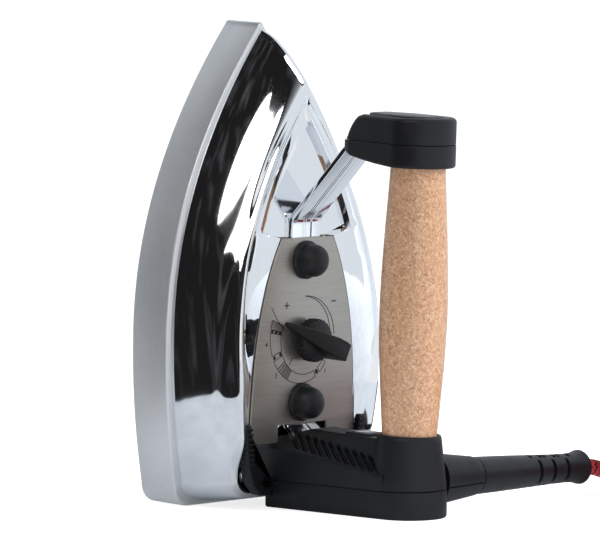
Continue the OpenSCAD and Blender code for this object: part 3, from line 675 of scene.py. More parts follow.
# ---------------------------------------------------------------- dial plate and its print
def make_plate():
    foot = rounded([(15.2, 36.4), (15.2, 29.0), (28.6, 29.0), (32.4, 31.5), (32.4, 36.0)],
                   [0, 1.0, 3.0, 3.0, 0])
    half = [tuple(q) for q in foot] + PLATE_SIDE[1:]
    outline = half + [(-y, z) for y, z in reversed(half)]
    piece("dial_plate_body", *slab(outline, PLATE_UNDER, PLATE_X, 0.15, 0.25, steps=4), PLATE, slot="dial_plate",
          replaces="dial_plate", sharp=50)


make_plate()

INK_LINE, TICK_LINE, MARK_LINE = 0.34, 0.5, 0.55
SCALE_INNER, SCALE_OUTER, SCALE_GROWTH = 15.1, 17.0, 5.6
SCALE_FROM, SCALE_SPAN = -38, 167
SCALE_PARTS = ((-38, -56), (-66, -122), (-124, -156), (-163, -190), (-194, -204))
SCALE_TICKS = (-127, -130, -133, -136, -140, -144)
SCALE_DOTS = ((-61, 2), (-159.5, 2), (-192, 3))
DOT_RADIUS, DOT_SIDES = 0.85, 14
NUMBERS = (("1", -47), ("2", -94), ("3", -140), ("4", -177))
NUMBER_SIZE, NUMBER_GAP = 3.0, 2.4
HOT_MARK, COLD_MARK, MARK_HALF = (-12.0, 87.4), (17.6, 87.9), 1.5


def flat_strip(line, width):
    """A printed line of a given width on the plate."""
    p = np.asarray(line, float)
    t = tangents_of(p)
    side = np.column_stack([-t[:, 1], t[:, 0]]) * width / 2
    low, high = PLATE_X - 0.02, PLATE_X + 0.06
    return loft([[(low, *a), (high, *a), (high, *b), (low, *b)] for a, b in zip(p + side, p - side)])


def dial_arc(r0, a0, a1, r1=None):
    """Points on the plate round the dial; the radius may change from one end to the other."""
    count = max(3, int(abs(a1 - a0) / 3))
    return [(q * math.cos(math.radians(a)), DIAL_Z + q * math.sin(math.radians(a)))
            for a, q in zip(np.linspace(a0, a1, count), np.linspace(r0, r0 if r1 is None else r1, count))]


def at_dial(r, a):
    return dial_arc(r, a, a)[0]


def band_outer(a):
    """The scale's band grows wider towards the hot end."""
    return SCALE_OUTER + (SCALE_FROM - a) / SCALE_SPAN * SCALE_GROWTH


def number_shape(text, at):
    """A number as a thin solid on the plate, centred at (sideways, along)."""
    curve = bpy.data.curves.new("number", "FONT")
    curve.body, curve.size = text, NUMBER_SIZE
    curve.align_x = curve.align_y = "CENTER"
    curve.extrude, curve.offset = 0.03, 0.018
    obj = bpy.data.objects.new("number", curve)
    bpy.context.scene.collection.objects.link(obj)
    bpy.context.view_layer.update()
    mesh = obj.evaluated_get(bpy.context.evaluated_depsgraph_get()).to_mesh()
    points = [(PLATE_X + 0.03 + v.co.z, at[0] + v.co.x, at[1] + v.co.y) for v in mesh.vertices]
    faces = [tuple(q.vertices) for q in mesh.polygons]
    bpy.data.objects.remove(obj)
    bpy.data.curves.remove(curve)
    return points, faces


def dot(y, z):
    ring = [(y + DOT_RADIUS * math.cos(t), z + DOT_RADIUS * math.sin(t)) for t in turned(DOT_SIDES)]
    return loft([[(PLATE_X + h, *q) for q in ring] for h in (-0.02, 0.07)])


def make_print():
    """The scale round the dial, a wedge that grows from cold to hot, and a plus and a minus."""
    lines = [dial_arc(18.5, 92, 4), dial_arc(18.4, 91, 4, 15.7)]
    parts = [flat_strip(line, INK_LINE) for line in lines]
    for a0, a1 in SCALE_PARTS:
        edges = [dial_arc(SCALE_INNER, a0, a1), dial_arc(band_outer(a0), a0, a1, band_outer(a1))]
        ends = [[edges[0][k], edges[1][k]] for k in (0, -1)]
        parts += [flat_strip(line, INK_LINE) for line in edges + ends]
    parts += [flat_strip([at_dial(SCALE_INNER, a), at_dial(band_outer(a), a)], TICK_LINE) for a in SCALE_TICKS]
    for a, count in SCALE_DOTS:
        parts += [dot(*at_dial(r, a)) for r in np.linspace(SCALE_INNER + 1.0, band_outer(a) - 1.0, count)]
    parts.append(flat_strip(dial_arc(25.8, 146, 160, 13.6), INK_LINE))
    parts.append(flat_strip(dial_arc(10.8, -134, -132, 14.2), INK_LINE))
    for (y, z), upright_too in ((HOT_MARK, True), (COLD_MARK, False)):
        parts.append(flat_strip([(y - MARK_HALF, z), (y + MARK_HALF, z)], MARK_LINE))
        if upright_too:
            parts.append(flat_strip([(y, z - MARK_HALF), (y, z + MARK_HALF)], MARK_LINE))
    parts += [number_shape(text, at_dial(band_outer(a) + NUMBER_GAP, a)) for text, a in NUMBERS]
    piece("dial_print", *joined(*parts), INK, slot="dial_plate", sharp=30)


make_print()

# ---------------------------------------------------------------- knob, nuts
KNOB_REST = 155.0
RIBS, POINTS_PER_RIB = 24, 6
# height over the sole's face, radius, depth of the ribs
KNOB_SKIRT = [(53.5, 8.7, 0.0), (53.7, 9.0, 0.2), (54.2, 9.05, 0.28), (58.0, 9.0, 0.28), (58.5, 8.85, 0.24),
              (58.9, 8.5, 0.1), (59.1, 7.9, 0.0)]
KNOB_CROWN = [(7.6, 59.0), (7.4, 59.4), (6.6, 59.7), (4.0, 59.9)]
POINTER = [(-12.6, -3.9), (-6, -4.3), (6, -3.0), (18.9, -0.8), (18.9, 0.8), (6, 3.0), (-6, 4.3), (-12.6, 3.9)]
POINTER_CORNERS = [0.8, 2, 4, 0.6, 0.6, 4, 2, 0.8]
POINTER_TOP, POINTER_FALL = 66.3, 0.31


def pointer_under(y, z):
    """The pointer's underside rises a little towards its tip."""
    return 53.9 + max(0.0, min(1.0, (y - 8.5) / 10)) * 0.8


def pointer_top(y, z):
    return POINTER_TOP - max(0.0, y + 9.5) * POINTER_FALL


def make_knob():
    a = turned(RIBS * POINTS_PER_RIB)
    wave = np.clip(np.cos(a * RIBS) * 1.6, -1, 1)
    rings = []
    for x, r, depth in KNOB_SKIRT:
        q = r + depth * wave
        rings.append(np.column_stack([np.full(len(a), x), q * np.cos(a), q * np.sin(a)]))
    plan = dense(rounded(POINTER, POINTER_CORNERS), 1.2)
    crown = lathe(KNOB_CROWN, 48, lambda r: r[:, [2, 0, 1]])
    turn = Matrix.Translation((0, 0, DIAL_Z)) @ Matrix.Rotation(math.radians(KNOB_REST), 4, "X")
    piece("pointer_knob", *joined(loft(rings), slab(plan, pointer_under, pointer_top, 0.2, 0.55), crown), KNOB,
          body="dial", slot="knob", replaces="dial_knob", space=IRON @ turn, sharp=40)


make_knob()

STUD_Y, NUT_FRONT_Z, NUT_REAR_Z = -1.2, 106.5, 45.5
NUT_FLANGE = [(2.0, 0.0), (8.1, 0.0), (8.25, 0.25), (8.2, 1.3), (7.9, 1.65), (7.25, 1.9), (7.1, 2.3)]
NUT_DOME = [(7.1, 2.3), (7.05, 4.2), (6.85, 6.0), (6.1, 7.9), (4.7, 9.3), (2.6, 10.15), (0.9, 10.38)]


def make_nut(name, z):
    profile = NUT_FLANGE + smooth_profile(NUT_DOME, 0.4)[1:]
    return piece(name, *lathe(profile, 56, lambda r: r[:, [2, 0, 1]] + (PLATE_X, STUD_Y, z)), NUT, slot="nuts",
                 sharp=40)


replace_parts(make_nut("cap_nut_front", NUT_FRONT_Z), "cap_nuts")
make_nut("cap_nut_rear", NUT_REAR_Z)

# ---------------------------------------------------------------- handle bracket
STRAP_PATH = [(117.5, 27.0), (61.0, 27.0), (48.65, 35.8), (48.65, 123.7), (81.4, 159.0), (119.0, 159.0)]
STRAP_BENDS = [0, 4.0, 2.2, 2.2, 4.0, 0]
STRAP_T, STRAP_W, STRAP_EDGE = 2.5, 18.5, 0.9


def strap_section():
    """Closed outline (sideways, outwards): rounded edges, and a groove and two fine lines on the hand's side."""
    top, edge, r = STRAP_T / 2, STRAP_W / 2, STRAP_EDGE
    line = [(-edge + r, top), (-2.3, top), (-2.05, top - 0.16), (-1.8, top), (-0.9, top), (-0.65, top - 0.16),
            (-0.4, top), (1.9, top), (2.2, top - 0.5), (2.9, top - 0.5), (3.2, top), (edge - r, top)]
    line += [(edge - r + r * math.cos(a), top - r + r * math.sin(a)) for a in np.radians([60, 30, 0])]
    line += [(edge, -top + 0.5), (edge - 0.5, -top), (-edge + 0.5, -top), (-edge, -top + 0.5)]
    line += [(-edge + r + r * math.cos(a), top - r + r * math.sin(a)) for a in np.radians([180, 150, 120])]
    return np.array(line)


def make_strap():
    stops = [np.array(q) for q in STRAP_PATH]
    path = [stops[0]]
    for before, p, after, reach in zip(stops, stops[1:], stops[2:], STRAP_BENDS[1:]):
        start, end = [p + (q - p) / np.linalg.norm(q - p) * reach for q in (before, after)]
        path += corner_curve(start, p, end, 9)
    path = np.array(path + [stops[-1]])
    section = strap_section()
    rings = [np.column_stack([x + tz * section[:, 1], section[:, 0], z - tx * section[:, 1]])
             for (x, z), (tx, tz) in zip(path, tangents_of(path))]
    piece("bracket_strap", *loft(rings), STRAP, slot="bracket", replaces="handle_bracket", sharp=28)


make_strap()

# ---------------------------------------------------------------- front cap
GRIP_X = 111.8
SEAM_Z, SEAM_HALF = 160.25, 0.12
CAP_RADIUS, CAP_NOSE, CAP_TOP_NOSE = 15.6, 78.7, 79.7
CAP_NOSE_CORNERS = [2.0, 3.0, 10.0]
# levels of the cap's underside and top, by height over the sole's face
CAP_LOW = [(78.6, 155.4), (82.5, 153.6), (90, 152.4), (99, 151.3), (109, 150.5), (130, 150.5)]
CAP_HIGH = [(79.6, 160.4), (81.6, 163.7), (84.8, 168.6), (87.0, 170.6), (90, 171.5), (130, 171.5)]
INSET_PLAN = [(87.5, -6.2), (87.5, 6.2), (102, 9.6), (121.5, 8.2), (121.5, -8.2), (102, -9.6)]


def cap_plan(nose_x, grow=0.0):
    """Outline (height over the sole, sideways) of the cap: a tapering nose that ends in the grip's barrel."""
    r = CAP_RADIUS + grow
    right = [(nose_x, -10.2 - grow), (82.4, -11.5 - grow), (96.0, -13.6 - grow)]
    barrel = [(GRIP_X + r * math.cos(a), r * math.sin(a)) for a in np.radians(np.arange(-100, 101, 8))]
    left = [(x, -y) for x, y in reversed(right)]
    corners = CAP_NOSE_CORNERS + [0] * len(barrel) + CAP_NOSE_CORNERS[::-1]
    return dense(rounded(right + barrel + left, corners), 1.5)


def make_front_cap():
    lower = slab(cap_plan(CAP_NOSE), lambda x, y: run_at(CAP_LOW, x), SEAM_Z - SEAM_HALF, 1.3, 0.25, upright, 6)
    piece("front_cap_under", *lower, CAP, slot="front_cap", replaces="front_cap_lower", sharp=40)
    upper = slab(cap_plan(CAP_TOP_NOSE, -0.1), SEAM_Z + SEAM_HALF,
                 lambda x, y: max(SEAM_Z + 2.2, run_at(CAP_HIGH, x)), 0.25, 2.0, upright, 7)
    piece("front_cap_top", *upper, CAP, slot="front_cap", replaces="front_cap", sharp=40)
    inset = dense(rounded(INSET_PLAN, [5, 5, 8, 8, 8, 8]), 1.5)
    rim = slab(inset, 170.6, 171.85, 0.2, 0.35, upright)
    dome = slab(moved_in(inset, 0.9), 171.0, 172.1, 0.2, 0.7, upright)
    piece("front_cap_badge", *joined(rim, dome), INSET, slot="front_cap", replaces="front_cap_insert", sharp=40)


make_front_cap()

# ---------------------------------------------------------------- grip
ROD_HOLE = 3.4
GRIP_FOOT, GRIP_END = (11.3, 34.6), (11.2, 156.45)
GRIP_BARREL = [(11.55, 35.2), (11.75, 40), (12.6, 52), (13.55, 66), (14.15, 80), (14.3, 92), (13.95, 107),
               (13.05, 125), (12.1, 141), (11.65, 150), (11.6, 156.3)]


def make_grip():
    skin = [GRIP_FOOT] + smooth_profile(GRIP_BARREL, 1.0) + [GRIP_END]
    profile = [(ROD_HOLE, GRIP_FOOT[1])] + skin + [(ROD_HOLE, GRIP_END[1])]
    piece("cork_handle", *lathe(profile, 96, lambda r: r + (GRIP_X, 0, 0), closed=True), CORK, slot="cork",
          replaces="cork_grip", sharp=50)


make_grip()

# ---------------------------------------------------------------- rear housing
HOUSE_X0, HOUSE_HW, RIDGE_Z, RIDGE_HW, RIM_Z = 44.5, 16.2, 35.6, 7.5, 38.2
JOINT_Z, JOINT_HALF = 11.8, 0.12
# levels of the ridge and of the flanks' upper edge, by height over the sole's face
HOUSE_TOP = [(44.5, 27.2), (45.2, 28.6), (47.0, 30.9), (55, 33.3), (63.0, 35.6), (125, 35.6)]
FLANK_TOP = [(44.5, 26.0), (60, 27.0), (108, 21.5)]
FIN_X0, FIN_PITCH, FIN_COUNT, FIN_LEAN = 57.5, 4.7, 11, math.tan(math.radians(60))
FIN_FROM, FIN_TO, FIN_HALF, FIN_DEPTH, FIN_INSIDE = 0.8, 7.0, 1.35, 2.0, 8.2
BARREL = [(HOUSE_HW, 17.5), (15.6, 22.0), (14.5, 30.0), (13.75, 36.0), (13.5, 37.4), (13.1, 38.0), (12.6, RIM_Z),
          (12.1, 38.0), (11.9, 37.5), (11.9, 34.3), (ROD_HOLE, 34.3)]
BARREL_SIDES, HOUSE_RING_POINTS = 72, 118


def level_in_iron(row_z, x):
    """Where a level over the floor lies along the iron, at height x over the sole's face."""
    return (row_z - SOLE_T * math.sin(LEAN) + x * math.sin(LEAN)) / math.cos(LEAN)


def pressed_slots(x, line, flank):
    """Pushes the points that lie in a leaning slot inwards, square to the shoulder."""
    for q in line:
        up = q[1] - flank
        along = x - FIN_X0 + (up - 4.0) * FIN_LEAN
        k = round(along / FIN_PITCH)
        in_slot = 0 <= k < FIN_COUNT and abs(along - k * FIN_PITCH) < FIN_HALF
        if in_slot and FIN_FROM < up < FIN_TO and abs(q[0]) > FIN_INSIDE:
            push = FIN_DEPTH * min(1, up - FIN_FROM, FIN_TO - up)
            q[0] -= math.copysign(push * 0.62, q[0])
            q[1] -= push * 0.78


def house_ring(x):
    """The housing's outline at height x over the sole's face: flank, shoulder, ridge and back down."""
    top, flank = run_at(HOUSE_TOP, x), run_at(FLANK_TOP, x)
    half = HOUSE_HW - max(0.0, 1 - (x - HOUSE_X0) / 1.2) ** 2
    bottom = level_in_iron(JOINT_Z + JOINT_HALF, x)
    y_top = min(half - 1.0, RIDGE_HW + 0.906 * (RIDGE_Z - top))
    corners = [(half, bottom), (half, flank), (y_top, top), (-y_top, top), (-half, flank), (-half, bottom)]
    outline = rounded(corners, [0, 2.6, 2.2, 2.2, 2.6, 0], 8)
    line = []
    for a, b in zip(outline[:-1], outline[1:]):
        count = max(1, int(round(np.linalg.norm(b - a) / 0.5)))
        line += [a + (b - a) * t for t in np.arange(count) / count]
    line = evenly(line + [outline[-1]], HOUSE_RING_POINTS)
    pressed_slots(x, line, flank)
    return np.column_stack([np.full(len(line), x), line[:, 0], line[:, 1]])


def barrel_ring(r, z=None, lift=0.0):
    """A ring round the grip, at z along the iron or at a level over the joint."""
    a = turned(BARREL_SIDES)
    ring = np.column_stack([GRIP_X + r * np.cos(a), r * np.sin(a), np.zeros(BARREL_SIDES)])
    ring[:, 2] = [level_in_iron(JOINT_Z + lift, x) for x in ring[:, 0]] if z is None else z
    return ring


def make_housing():
    levels = np.concatenate([[44.5, 44.6, 44.9, 45.4, 46.2], np.arange(47, 111.9, 0.42)])
    foot = [barrel_ring(HOUSE_HW - 0.25, lift=JOINT_HALF), barrel_ring(HOUSE_HW, lift=0.35)]
    return joined(loft([house_ring(x) for x in levels]), loft(foot + [barrel_ring(r, z) for r, z in BARREL]))


RELIEF_TILT, RELIEF_Y0, RELIEF_LEN = math.radians(1.3), 41.0, 72.0
EXIT_X, EXIT_Z = 46.0, 12.5
# distance sideways and radius of the boss that holds the sleeve
BOSS = [(14.0, 11.1), (24.0, 10.2), (36.0, 8.9), (39.6, 8.5), (40.4, 8.2), (40.7, 7.6)]
COVER_CENTRE_X, COVER_LIP_LOW = 46.0, 3.4
WINDOW_FRAME = [(80.7, -6), (93.8, -6), (93.8, 6), (80.7, 6)]
WINDOW = [(82.6, -4.1), (91.9, -4.1), (91.9, 4.1), (82.6, 4.1)]


def relief_centre(y):
    return np.array([EXIT_X, y, EXIT_Z + (RELIEF_Y0 + RELIEF_LEN - y) * math.tan(RELIEF_TILT)])


def relief_ring(y, r, sides=64, low=-math.inf, high=math.inf):
    """A ring round the cord's line, over the floor, cut flat at low and high; r may differ round the ring."""
    a = turned(sides)
    ring = relief_centre(y) + np.column_stack([r * np.cos(a), 0 * a, r * np.sin(a)])
    ring[:, 2] = np.clip(ring[:, 2], low, high)
    return ring


def over_floor(points, faces):
    """Points on the iron's own axes as places over the floor, still in millimetres."""
    return [tuple((IRON @ Vector(p)) / MM) for p in points], faces


def make_house_pieces():
    boss = loft([relief_ring(y, r, low=JOINT_Z + JOINT_HALF) for y, r in BOSS])
    window_frame = slab(rounded(WINDOW_FRAME, 1.2), RIDGE_Z - 1, RIDGE_Z + 0.8, 0.1, 0.45, upright)
    piece("rear_housing_shell", *joined(over_floor(*make_housing()), boss, over_floor(*window_frame)), HOUSING,
          slot="housing", replaces="rear_housing", space=ROW, sharp=38)
    x0, r = HOUSE_X0 * math.cos(LEAN) - HALF_DEPTH + 0.4, HOUSE_HW
    arc = [(COVER_CENTRE_X + r * math.cos(t), r * math.sin(t)) for t in np.radians(np.arange(-90, 91, 5))]
    plan = dense(rounded([(x0, r), (x0, -r)] + arc, [2.0, 2.0] + [0] * len(arc)), 2.0)
    shell = slab(plan, 0.0, JOINT_Z - JOINT_HALF, 1.1, 0.2, upright, 6)
    lip = loft([relief_ring(y, q, low=COVER_LIP_LOW, high=JOINT_Z - JOINT_HALF) for y, q in BOSS])
    piece("rear_cover_shell", *joined(shell, lip), HOUSING, slot="housing", replaces="rear_cover", space=ROW,
          sharp=38)


make_house_pieces()
piece("pilot_window", *slab(rounded(WINDOW, 0.6), RIDGE_Z - 0.6, RIDGE_Z + 1.0, 0.1, 0.5, upright), LENS,
      slot="lens", replaces="pilot_lens", sharp=40)

# ---------------------------------------------------------------- heel guards
GUARD_OUTSIDE = [(19.5, 6.5), (28, 7.5), (32.5, 12), (35.5, 20), (37.2, 31), (37.8, 38)]
GUARD_BASE = GUARD_OUTSIDE + [(30, 38), (28, 14), (19.5, 13)]
GUARD_RIM = GUARD_OUTSIDE + [(34.0, 38), (33.4, 31), (30.4, 21), (19.5, 13.5)]
GUARD_CORNERS = [0.6, 4, 5, 6, 10, 1]
GUARD_RIBS, RIB_FROM, RIB_PITCH, RIB_LEN, RIB_SLANT = 8, 20.0, 2.2, 4.4, 0.14


def guard_rib(side, k):
    z = RIB_FROM + RIB_PITCH * k
    y = 31.4 + (z - RIB_FROM) * RIB_SLANT
    corners = [(y, z), (y + RIB_LEN, z + 0.2), (y + RIB_LEN, z + 1.2), (y, z + 1.2)]
    return slab(rounded([(side * p, q) for p, q in corners], 0.3, 4), 50.4, 53.8, 0.1, 0.4)


def make_guards():
    """On each side a bent plate with a raised rim and a row of ribs."""
    parts = []
    for side in (1, -1):
        base = rounded([(side * y, z) for y, z in GUARD_BASE], GUARD_CORNERS + [1, 1, 0.6])
        rim = rounded([(side * y, z) for y, z in GUARD_RIM], GUARD_CORNERS + [1, 6, 4, 0.6])
        parts.append(slab(dense(base, 3), HOOD_FLOOR + 1.1, PLATE_UNDER, 0.2, 0.1))
        parts.append(slab(dense(rim, 3), 49.8, 53.4, 0.1, 0.9))
        parts += [guard_rib(side, k) for k in range(GUARD_RIBS)]
    piece("corner_guards", *joined(*parts), GUARD, slot="guards", replaces="heel_guards", sharp=38)


make_guards()

# ---------------------------------------------------------------- boot, plug and carried nodes
# distance along the sleeve and its radius
BOOT_RADII = [(0.0, 7.4), (0.25, 8.0), (4, 8.0), (14, 7.75), (28, 7.3), (42, 6.8), (52, 6.45), (62, 6.3),
              (66, 6.5), (68.6, 6.95), (70.2, 7.4), (71.1, 7.5), (71.7, 7.2), (72.0, 6.5)]
BOOT_SIDES, BOOT_STEP, BOOT_MOUTH = 96, 0.5, 3.6
SLOT_RUNS = [38.5, 48.0, 57.5]
SLOT_LONG, SLOT_DEEP, SIDE_GAP = 1.0, 2.3, 3.4
SIDE_SLOT_HALF, TOP_SLOT_HALF = 0.84, 0.55


def make_boot():
    """A tapered sleeve whose slots run round the sides, with shorter ones between them above and below."""
    a = turned(BOOT_SIDES)
    slots = [(s, 0.0, SIDE_SLOT_HALF) for s in SLOT_RUNS]
    slots += [(s + gap, math.pi / 2, TOP_SLOT_HALF) for s in SLOT_RUNS for gap in (-SIDE_GAP, SIDE_GAP)]
    rings = []
    evenly_on = np.arange(0, RELIEF_LEN + 0.01, BOOT_STEP)
    for s in np.unique(np.concatenate([evenly_on, [q[0] for q in BOOT_RADII]])):
        r = np.full(BOOT_SIDES, run_at(BOOT_RADII, s))
        for at, turn, half in slots:
            reach = max(0.0, min(1.0, (SLOT_LONG - abs(s - at)) / 0.5))
            r -= SLOT_DEEP * reach * np.clip((np.abs(np.cos(a - turn)) - math.cos(half)) / 0.06, 0, 1)
        rings.append(relief_ring(RELIEF_Y0 + s, r, BOOT_SIDES))
    rings.append(relief_ring(RELIEF_Y0 + RELIEF_LEN, BOOT_MOUTH, BOOT_SIDES))
    piece("strain_boot", *loft(rings), BOOT, slot="relief", replaces="strain_relief", space=ROW, sharp=45)


make_boot()
solid_copy("plug_body", "plug_shell", PLUG, 0.6, 3)
solid_copy("plug_pins", "plug_contacts", NICKEL, 0.15)
solid_copy("coil_tie", "hook_tie", TIE, 0.5, 3)
dress(STEEL, "studs", "stud_spacers", "clamp_screws", "thermostat_bracket", "handle_rod", "rod_nuts",
      "cord_clamp", "cord_clamp_screws", "element_clamp")
dress(BLACK_STEEL, "guard_screws", "cover_screws")
dress(SHIELD, "heat_shield")
dress(BRASS, "thermostat_bush", "dial_spindle", "terminal_screws", "thermostat_bimetal")
dress(CERAMIC, "thermostat_stack", "terminal_block")
dress(ELEMENT, "heating_element")
dress(LAMP, "pilot_lamp")
dress(LEAD, "lead_wires")
dress(BOOT, "cord_inner")

# ---------------------------------------------------------------- cord
CORD_D, CORD_SIDES, CORD_STEP = 7.0, 18, 2.0
EXIT = (EXIT_X, RELIEF_Y0 + RELIEF_LEN, EXIT_Z)
BEFORE_EXIT = (EXIT[0], EXIT[1] - 9, EXIT[2] + 0.25)
COIL_AT = (84.5, 157.0)
INNER_TURN, OUTER_TURN = 31.5, 38.5
COIL_LOW, COIL_TURNS, COIL_STEP = 4.3, 6.5, 4
FALL_LEN = 39.0
# where the coil steps sideways (from, to, way) and up (from, to), in degrees from its start
SIDE_STEPS = [(250, 360, -1), (850, 960, 1), (1450, 1560, -1), (2050, 2160, 1)]
UP_STEPS = [(575, 665), (1175, 1265), (1775, 1865)]
HUMP, HUMP_AT, HUMP_WIDE = 1.6, 333.0, 22.0
TAIL = [(122.4, 150.3, 25.3), (120.7, 143.8, 26.3), (119.2, 138.8, 27.2), (118.3, 133.5, 27.5),
        (118.0, 128.0, 26.9)]
BRAID_TEETH, BRAID_ROUNDS, TOOTH_LEN, BLACK_SHARE = 9, 270.0, 0.36, 0.42
STRANDS_ALONG, STRANDS_AROUND = 135.0, 4.0


def two_arcs(t):
    """A smooth step from 0 to 1 made of two parabolas."""
    t = min(max(t, 0.0), 1.0)
    return 2 * t * t if t < 0.5 else 1 - 2 * (1 - t) ** 2


def coil_point(a):
    """The clockwise coil's centreline at angle a. Its outer turns pass over the incoming cord in a hump."""
    r = OUTER_TURN + sum(way * CORD_D * two_arcs((a - s) / (e - s)) for s, e, way in SIDE_STEPS)
    z = COIL_LOW + sum(CORD_D * two_arcs((a - s) / (e - s)) for s, e in UP_STEPS)
    if z > COIL_LOW + CORD_D / 2:
        z += HUMP * math.exp(-((a % 360 - HUMP_AT) / HUMP_WIDE) ** 2) * max(0.0, (r - INNER_TURN) / CORD_D)
    t = math.radians(180 - a)
    return COIL_AT[0] + r * math.cos(t), COIL_AT[1] + r * math.sin(t), z


def braid_look():
    """Black and red rounds whose edges zigzag around the cord, on strands that cross. The colour also carries
    painted shade in the grooves between strands and a painted highlight on their crowns.
    """
    look = Look("cord_braid", Roughness=0.8, Metallic=0.0)
    along = look.n("SeparateXYZ", Vector=look.place(uv=True))
    around = along.node.outputs[1]
    tooth = look.math("PINGPONG", look.times(around, BRAID_TEETH * 2), 1.0)
    rounds = look.math("ADD", look.times(along, BRAID_ROUNDS), look.times(tooth, TOOTH_LEN))
    red = look.math("GREATER_THAN", look.math("FRACT", rounds), BLACK_SHARE)
    strands = []
    for way in ("ADD", "SUBTRACT"):
        strand = look.math(way, look.times(along, STRANDS_ALONG), look.times(around, STRANDS_AROUND))
        strands.append(look.math("ABSOLUTE", look.math("SINE", look.times(strand, math.pi * 3))))
    weave = look.times(*strands)
    fuzz = look.noise(look.place(uv=True, scale=(1400, 60, 1)), 3.0, detail=2)
    colour = look.mix(red, (0.010, 0.009, 0.011), (0.72, 0.010, 0.022))
    # painted shade and highlight: the braid colour is multiplied by 0.7 in the grooves between strands and by up
    # to 1.1 on their crowns
    painted_strand_shade = look.scaled(weave, 0.4, 0.7)
    painted_shade_colour = look.mix(1.0, colour, look.n("CombineColor", i0=painted_strand_shade, i1=painted_strand_shade, i2=painted_strand_shade), kind="MULTIPLY")
    look.set(Base_Color=look.mix(look.times(fuzz, 0.06), painted_shade_colour, (0.75, 0.2, 0.2)), Sheen_Weight=0.12,
             Sheen_Roughness=0.5)
    look.bump(weave, 0.0005, 0.8)
    return look


def cord_line():
    """The cord's centreline: down from the sleeve, round the coil and across to the plug."""
    fall = [(EXIT[0], EXIT[1] + FALL_LEN * t, EXIT[2] - (EXIT[2] - COIL_LOW) * two_arcs(t))
            for t in np.arange(9) / 8]
    coil = [coil_point(a) for a in np.arange(0, 360 * COIL_TURNS + 0.1, COIL_STEP)]
    line = spline([BEFORE_EXIT] + fall + coil + TAIL, CORD_STEP)
    line = line[int(np.argmin(np.linalg.norm(line[:20] - EXIT, axis=1))):]
    line[0] = EXIT
    return line


def make_cord():
    line = cord_line()
    run = run_of(line) * MM
    points, faces = loft(tube(line, CORD_D / 2, CORD_SIDES))
    cord = piece("mains_cord", points, faces, braid_look(), slot="cord", space=ROW,
                 uvs=tube_uvs(run, CORD_SIDES, faces), replaces=("cord", "cord_coil", "cord_tail"), sharp=60)


make_cord()

# ---------------------------------------------------------------- floor and light
# The sheet's near edge faces this azimuth, where the hood's near wall looks, and is this far off, in metres
SHEET_HEADING, SHEET_NEAR, SHEET_REACH = -36.0, 0.237, 0.9
SHEET_WAVE, PAPER_GRAIN = 0.007, 30.0
# Everything bright or dark is laid out round this level of the iron, in metres
MIDDLE = Vector((0, 0, 0.1))
PANEL_RADIUS = 2.0
ROOM_DARK_AT = -4.0
# How the room looks by the cosine of the angle from that heading: pale behind, grey at the side, dark ahead
ROOM_TONES = [(0.30, (0.74, 0.79, 0.84)), (0.60, (0.26, 0.275, 0.295)), (0.78, (0.012, 0.0115, 0.012))]
# Faint upright streaks, as of furniture in the dark
STREAK_TONES = [(0.52, 0.0), (0.75, (0.055, 0.055, 0.06))]


def backdrop_look():
    """Plain pale paper, bright to the camera and a quiet bluish white where metal mirrors it."""
    look = Look("floor_paper", Roughness=0.9, Specular_IOR_Level=0.1)
    mirrored = look.n("LightPath", out=3)
    grain = look.noise(look.place(), PAPER_GRAIN, 4)
    paper = look.ramp(grain, [(0.3, (0.58, 0.63, 0.68)), (0.7, (0.72, 0.76, 0.80))])
    look.set(Base_Color=look.mix(mirrored, (0.93, 0.93, 0.93), paper), Emission_Color=(1, 1, 1),
             Emission_Strength=look.scaled(mirrored, -0.72, 0.75))
    return look.material


def stage_mesh(name, middle, edge, material):
    """A stage piece: a fan from its middle to its edge."""
    n = len(edge)
    mesh = bpy.data.meshes.new(name)
    mesh.from_pydata([middle] + edge, [], [(0, 1 + k, 1 + (k + 1) % n) for k in range(n)])
    mesh.materials.append(material)
    obj = bpy.data.objects.new(name, mesh)
    bpy.context.scene.collection.objects.link(obj)
    return obj


def make_floor():
    """A square sheet of paper whose near edge waves a little."""
    ahead, aside = direction(SHEET_HEADING, 0), direction(SHEET_HEADING + 90, 0)
    near = [ahead * (SHEET_NEAR + SHEET_WAVE * math.sin(47 * x) * math.cos(19 * x)) + aside * x
            for x in np.linspace(-SHEET_REACH, SHEET_REACH, 181)]
    far = [(aside - ahead) * SHEET_REACH, (-aside - ahead) * SHEET_REACH]
    stage_mesh("floor", Vector(), near + far, backdrop_look())


def glow_panel(name, corners, strength):
    """A bright shape on a sphere round the iron, seen only in reflections. Corners are azimuth, elevation."""
    material = bpy.data.materials.new(name + "_glow")
    material.use_nodes = True
    material.node_tree.nodes.clear()
    nodes = Nodes(material.node_tree)
    nodes.end("OutputMaterial", nodes.n("Emission", Color=(1, 1, 1), Strength=strength))
    edge = [MIDDLE + direction(a, e) * PANEL_RADIUS for a, e in corners]
    obj = stage_mesh(name, sum(edge, Vector()) / len(edge), edge, material)
    obj.visible_camera = obj.visible_diffuse = obj.visible_shadow = False


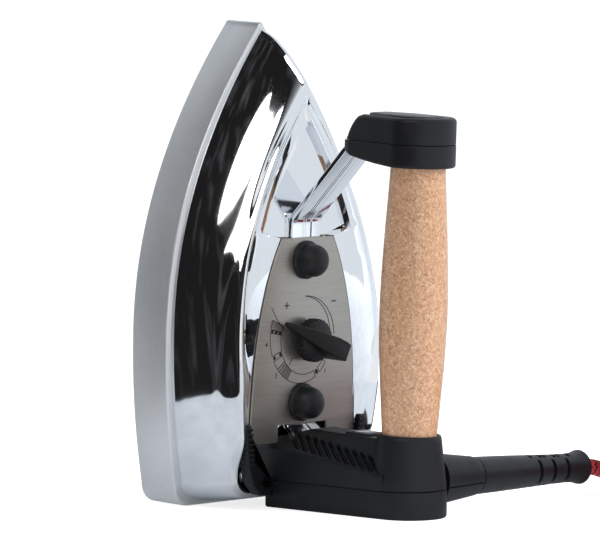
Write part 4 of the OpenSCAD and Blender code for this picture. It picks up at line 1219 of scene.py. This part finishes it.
def leaf(low, high, bow, width, widest):
    """Outline of a leaf from its low tip to its high one, bowed sideways; widest is how far up that is."""
    low, along = np.array(low, float), np.array(high, float) - np.array(low, float)
    across_it = np.array([along[1], -along[0]]) / np.linalg.norm(along)
    fullness = math.log(0.5) / math.log(widest)
    left, right = [], []
    for t in np.linspace(0, 1, 17):
        middle = low + along * t + across_it * bow * 4 * t * (1 - t)
        half = width / 2 * math.sin(math.pi * t ** fullness) ** 0.7 if 0 < t < 1 else 0.02
        left.append(middle - across_it * half)
        right.append(middle + across_it * half)
    return left + right[::-1]


def make_world():
    """White to the camera, an even soft grey as light, and a room with a dark side in reflections."""
    world = bpy.data.worlds.new("room")
    bpy.context.scene.world = world
    world.use_nodes = True
    world.node_tree.nodes.clear()
    nodes = Nodes(world.node_tree)
    ray = nodes.n("LightPath").node.outputs
    heading = nodes.n("TexCoord", out="Generated")
    x, y, z = nodes.n("SeparateXYZ", Vector=heading).node.outputs
    dark_side = direction(ROOM_DARK_AT, 0)
    ahead = nodes.math("ADD", nodes.times(x, dark_side.x), nodes.times(y, dark_side.y))
    level = nodes.math("SQRT", nodes.math("SUBTRACT", 1.0001, nodes.times(z, z)))
    tone = nodes.ramp(nodes.math("DIVIDE", ahead, level), ROOM_TONES)
    streaks = nodes.noise(nodes.n("Mapping", Vector=heading, Scale=(9.0, 9.0, 1.2)), 1.6, 4.0, 0.5)
    room = nodes.mix(1.0, tone, nodes.ramp(streaks, STREAK_TONES), kind="ADD")
    mirrored = nodes.math("MAXIMUM", ray["Is Glossy Ray"], ray["Is Singular Ray"])
    soft = nodes.mix(mirrored, (0.5, 0.51, 0.53), room)
    light = nodes.mix(ray["Is Camera Ray"], soft, (1.2, 1.2, 1.2))
    nodes.end("OutputWorld", nodes.n("Background", Color=light, Strength=1.0))


def area_light(name, azimuth, elevation, distance, size, power):
    data = bpy.data.lights.new(name, "AREA")
    data.shape, data.size, data.energy = "SQUARE", size, power
    place_facing(name, data, MIDDLE, azimuth, elevation, distance).visible_glossy = False


make_floor()
make_world()
area_light("key_right", 118, 30, 1.7, 0.8, 24)
area_light("fill_left", -30, 50, 1.8, 0.9, 3)
glow_panel("softbox_left", leaf((-7, 26), (24, 57), -2.5, 10, 0.5), 4)
glow_panel("softbox_right", leaf((-2, 20), (31, 56), 3.5, 15, 0.66), 4)
glow_panel("near_card", [(39, -6), (84, -6), (84, 34), (39, 34)], 0.9)
bpy.context.scene.view_settings.view_transform = "Standard"
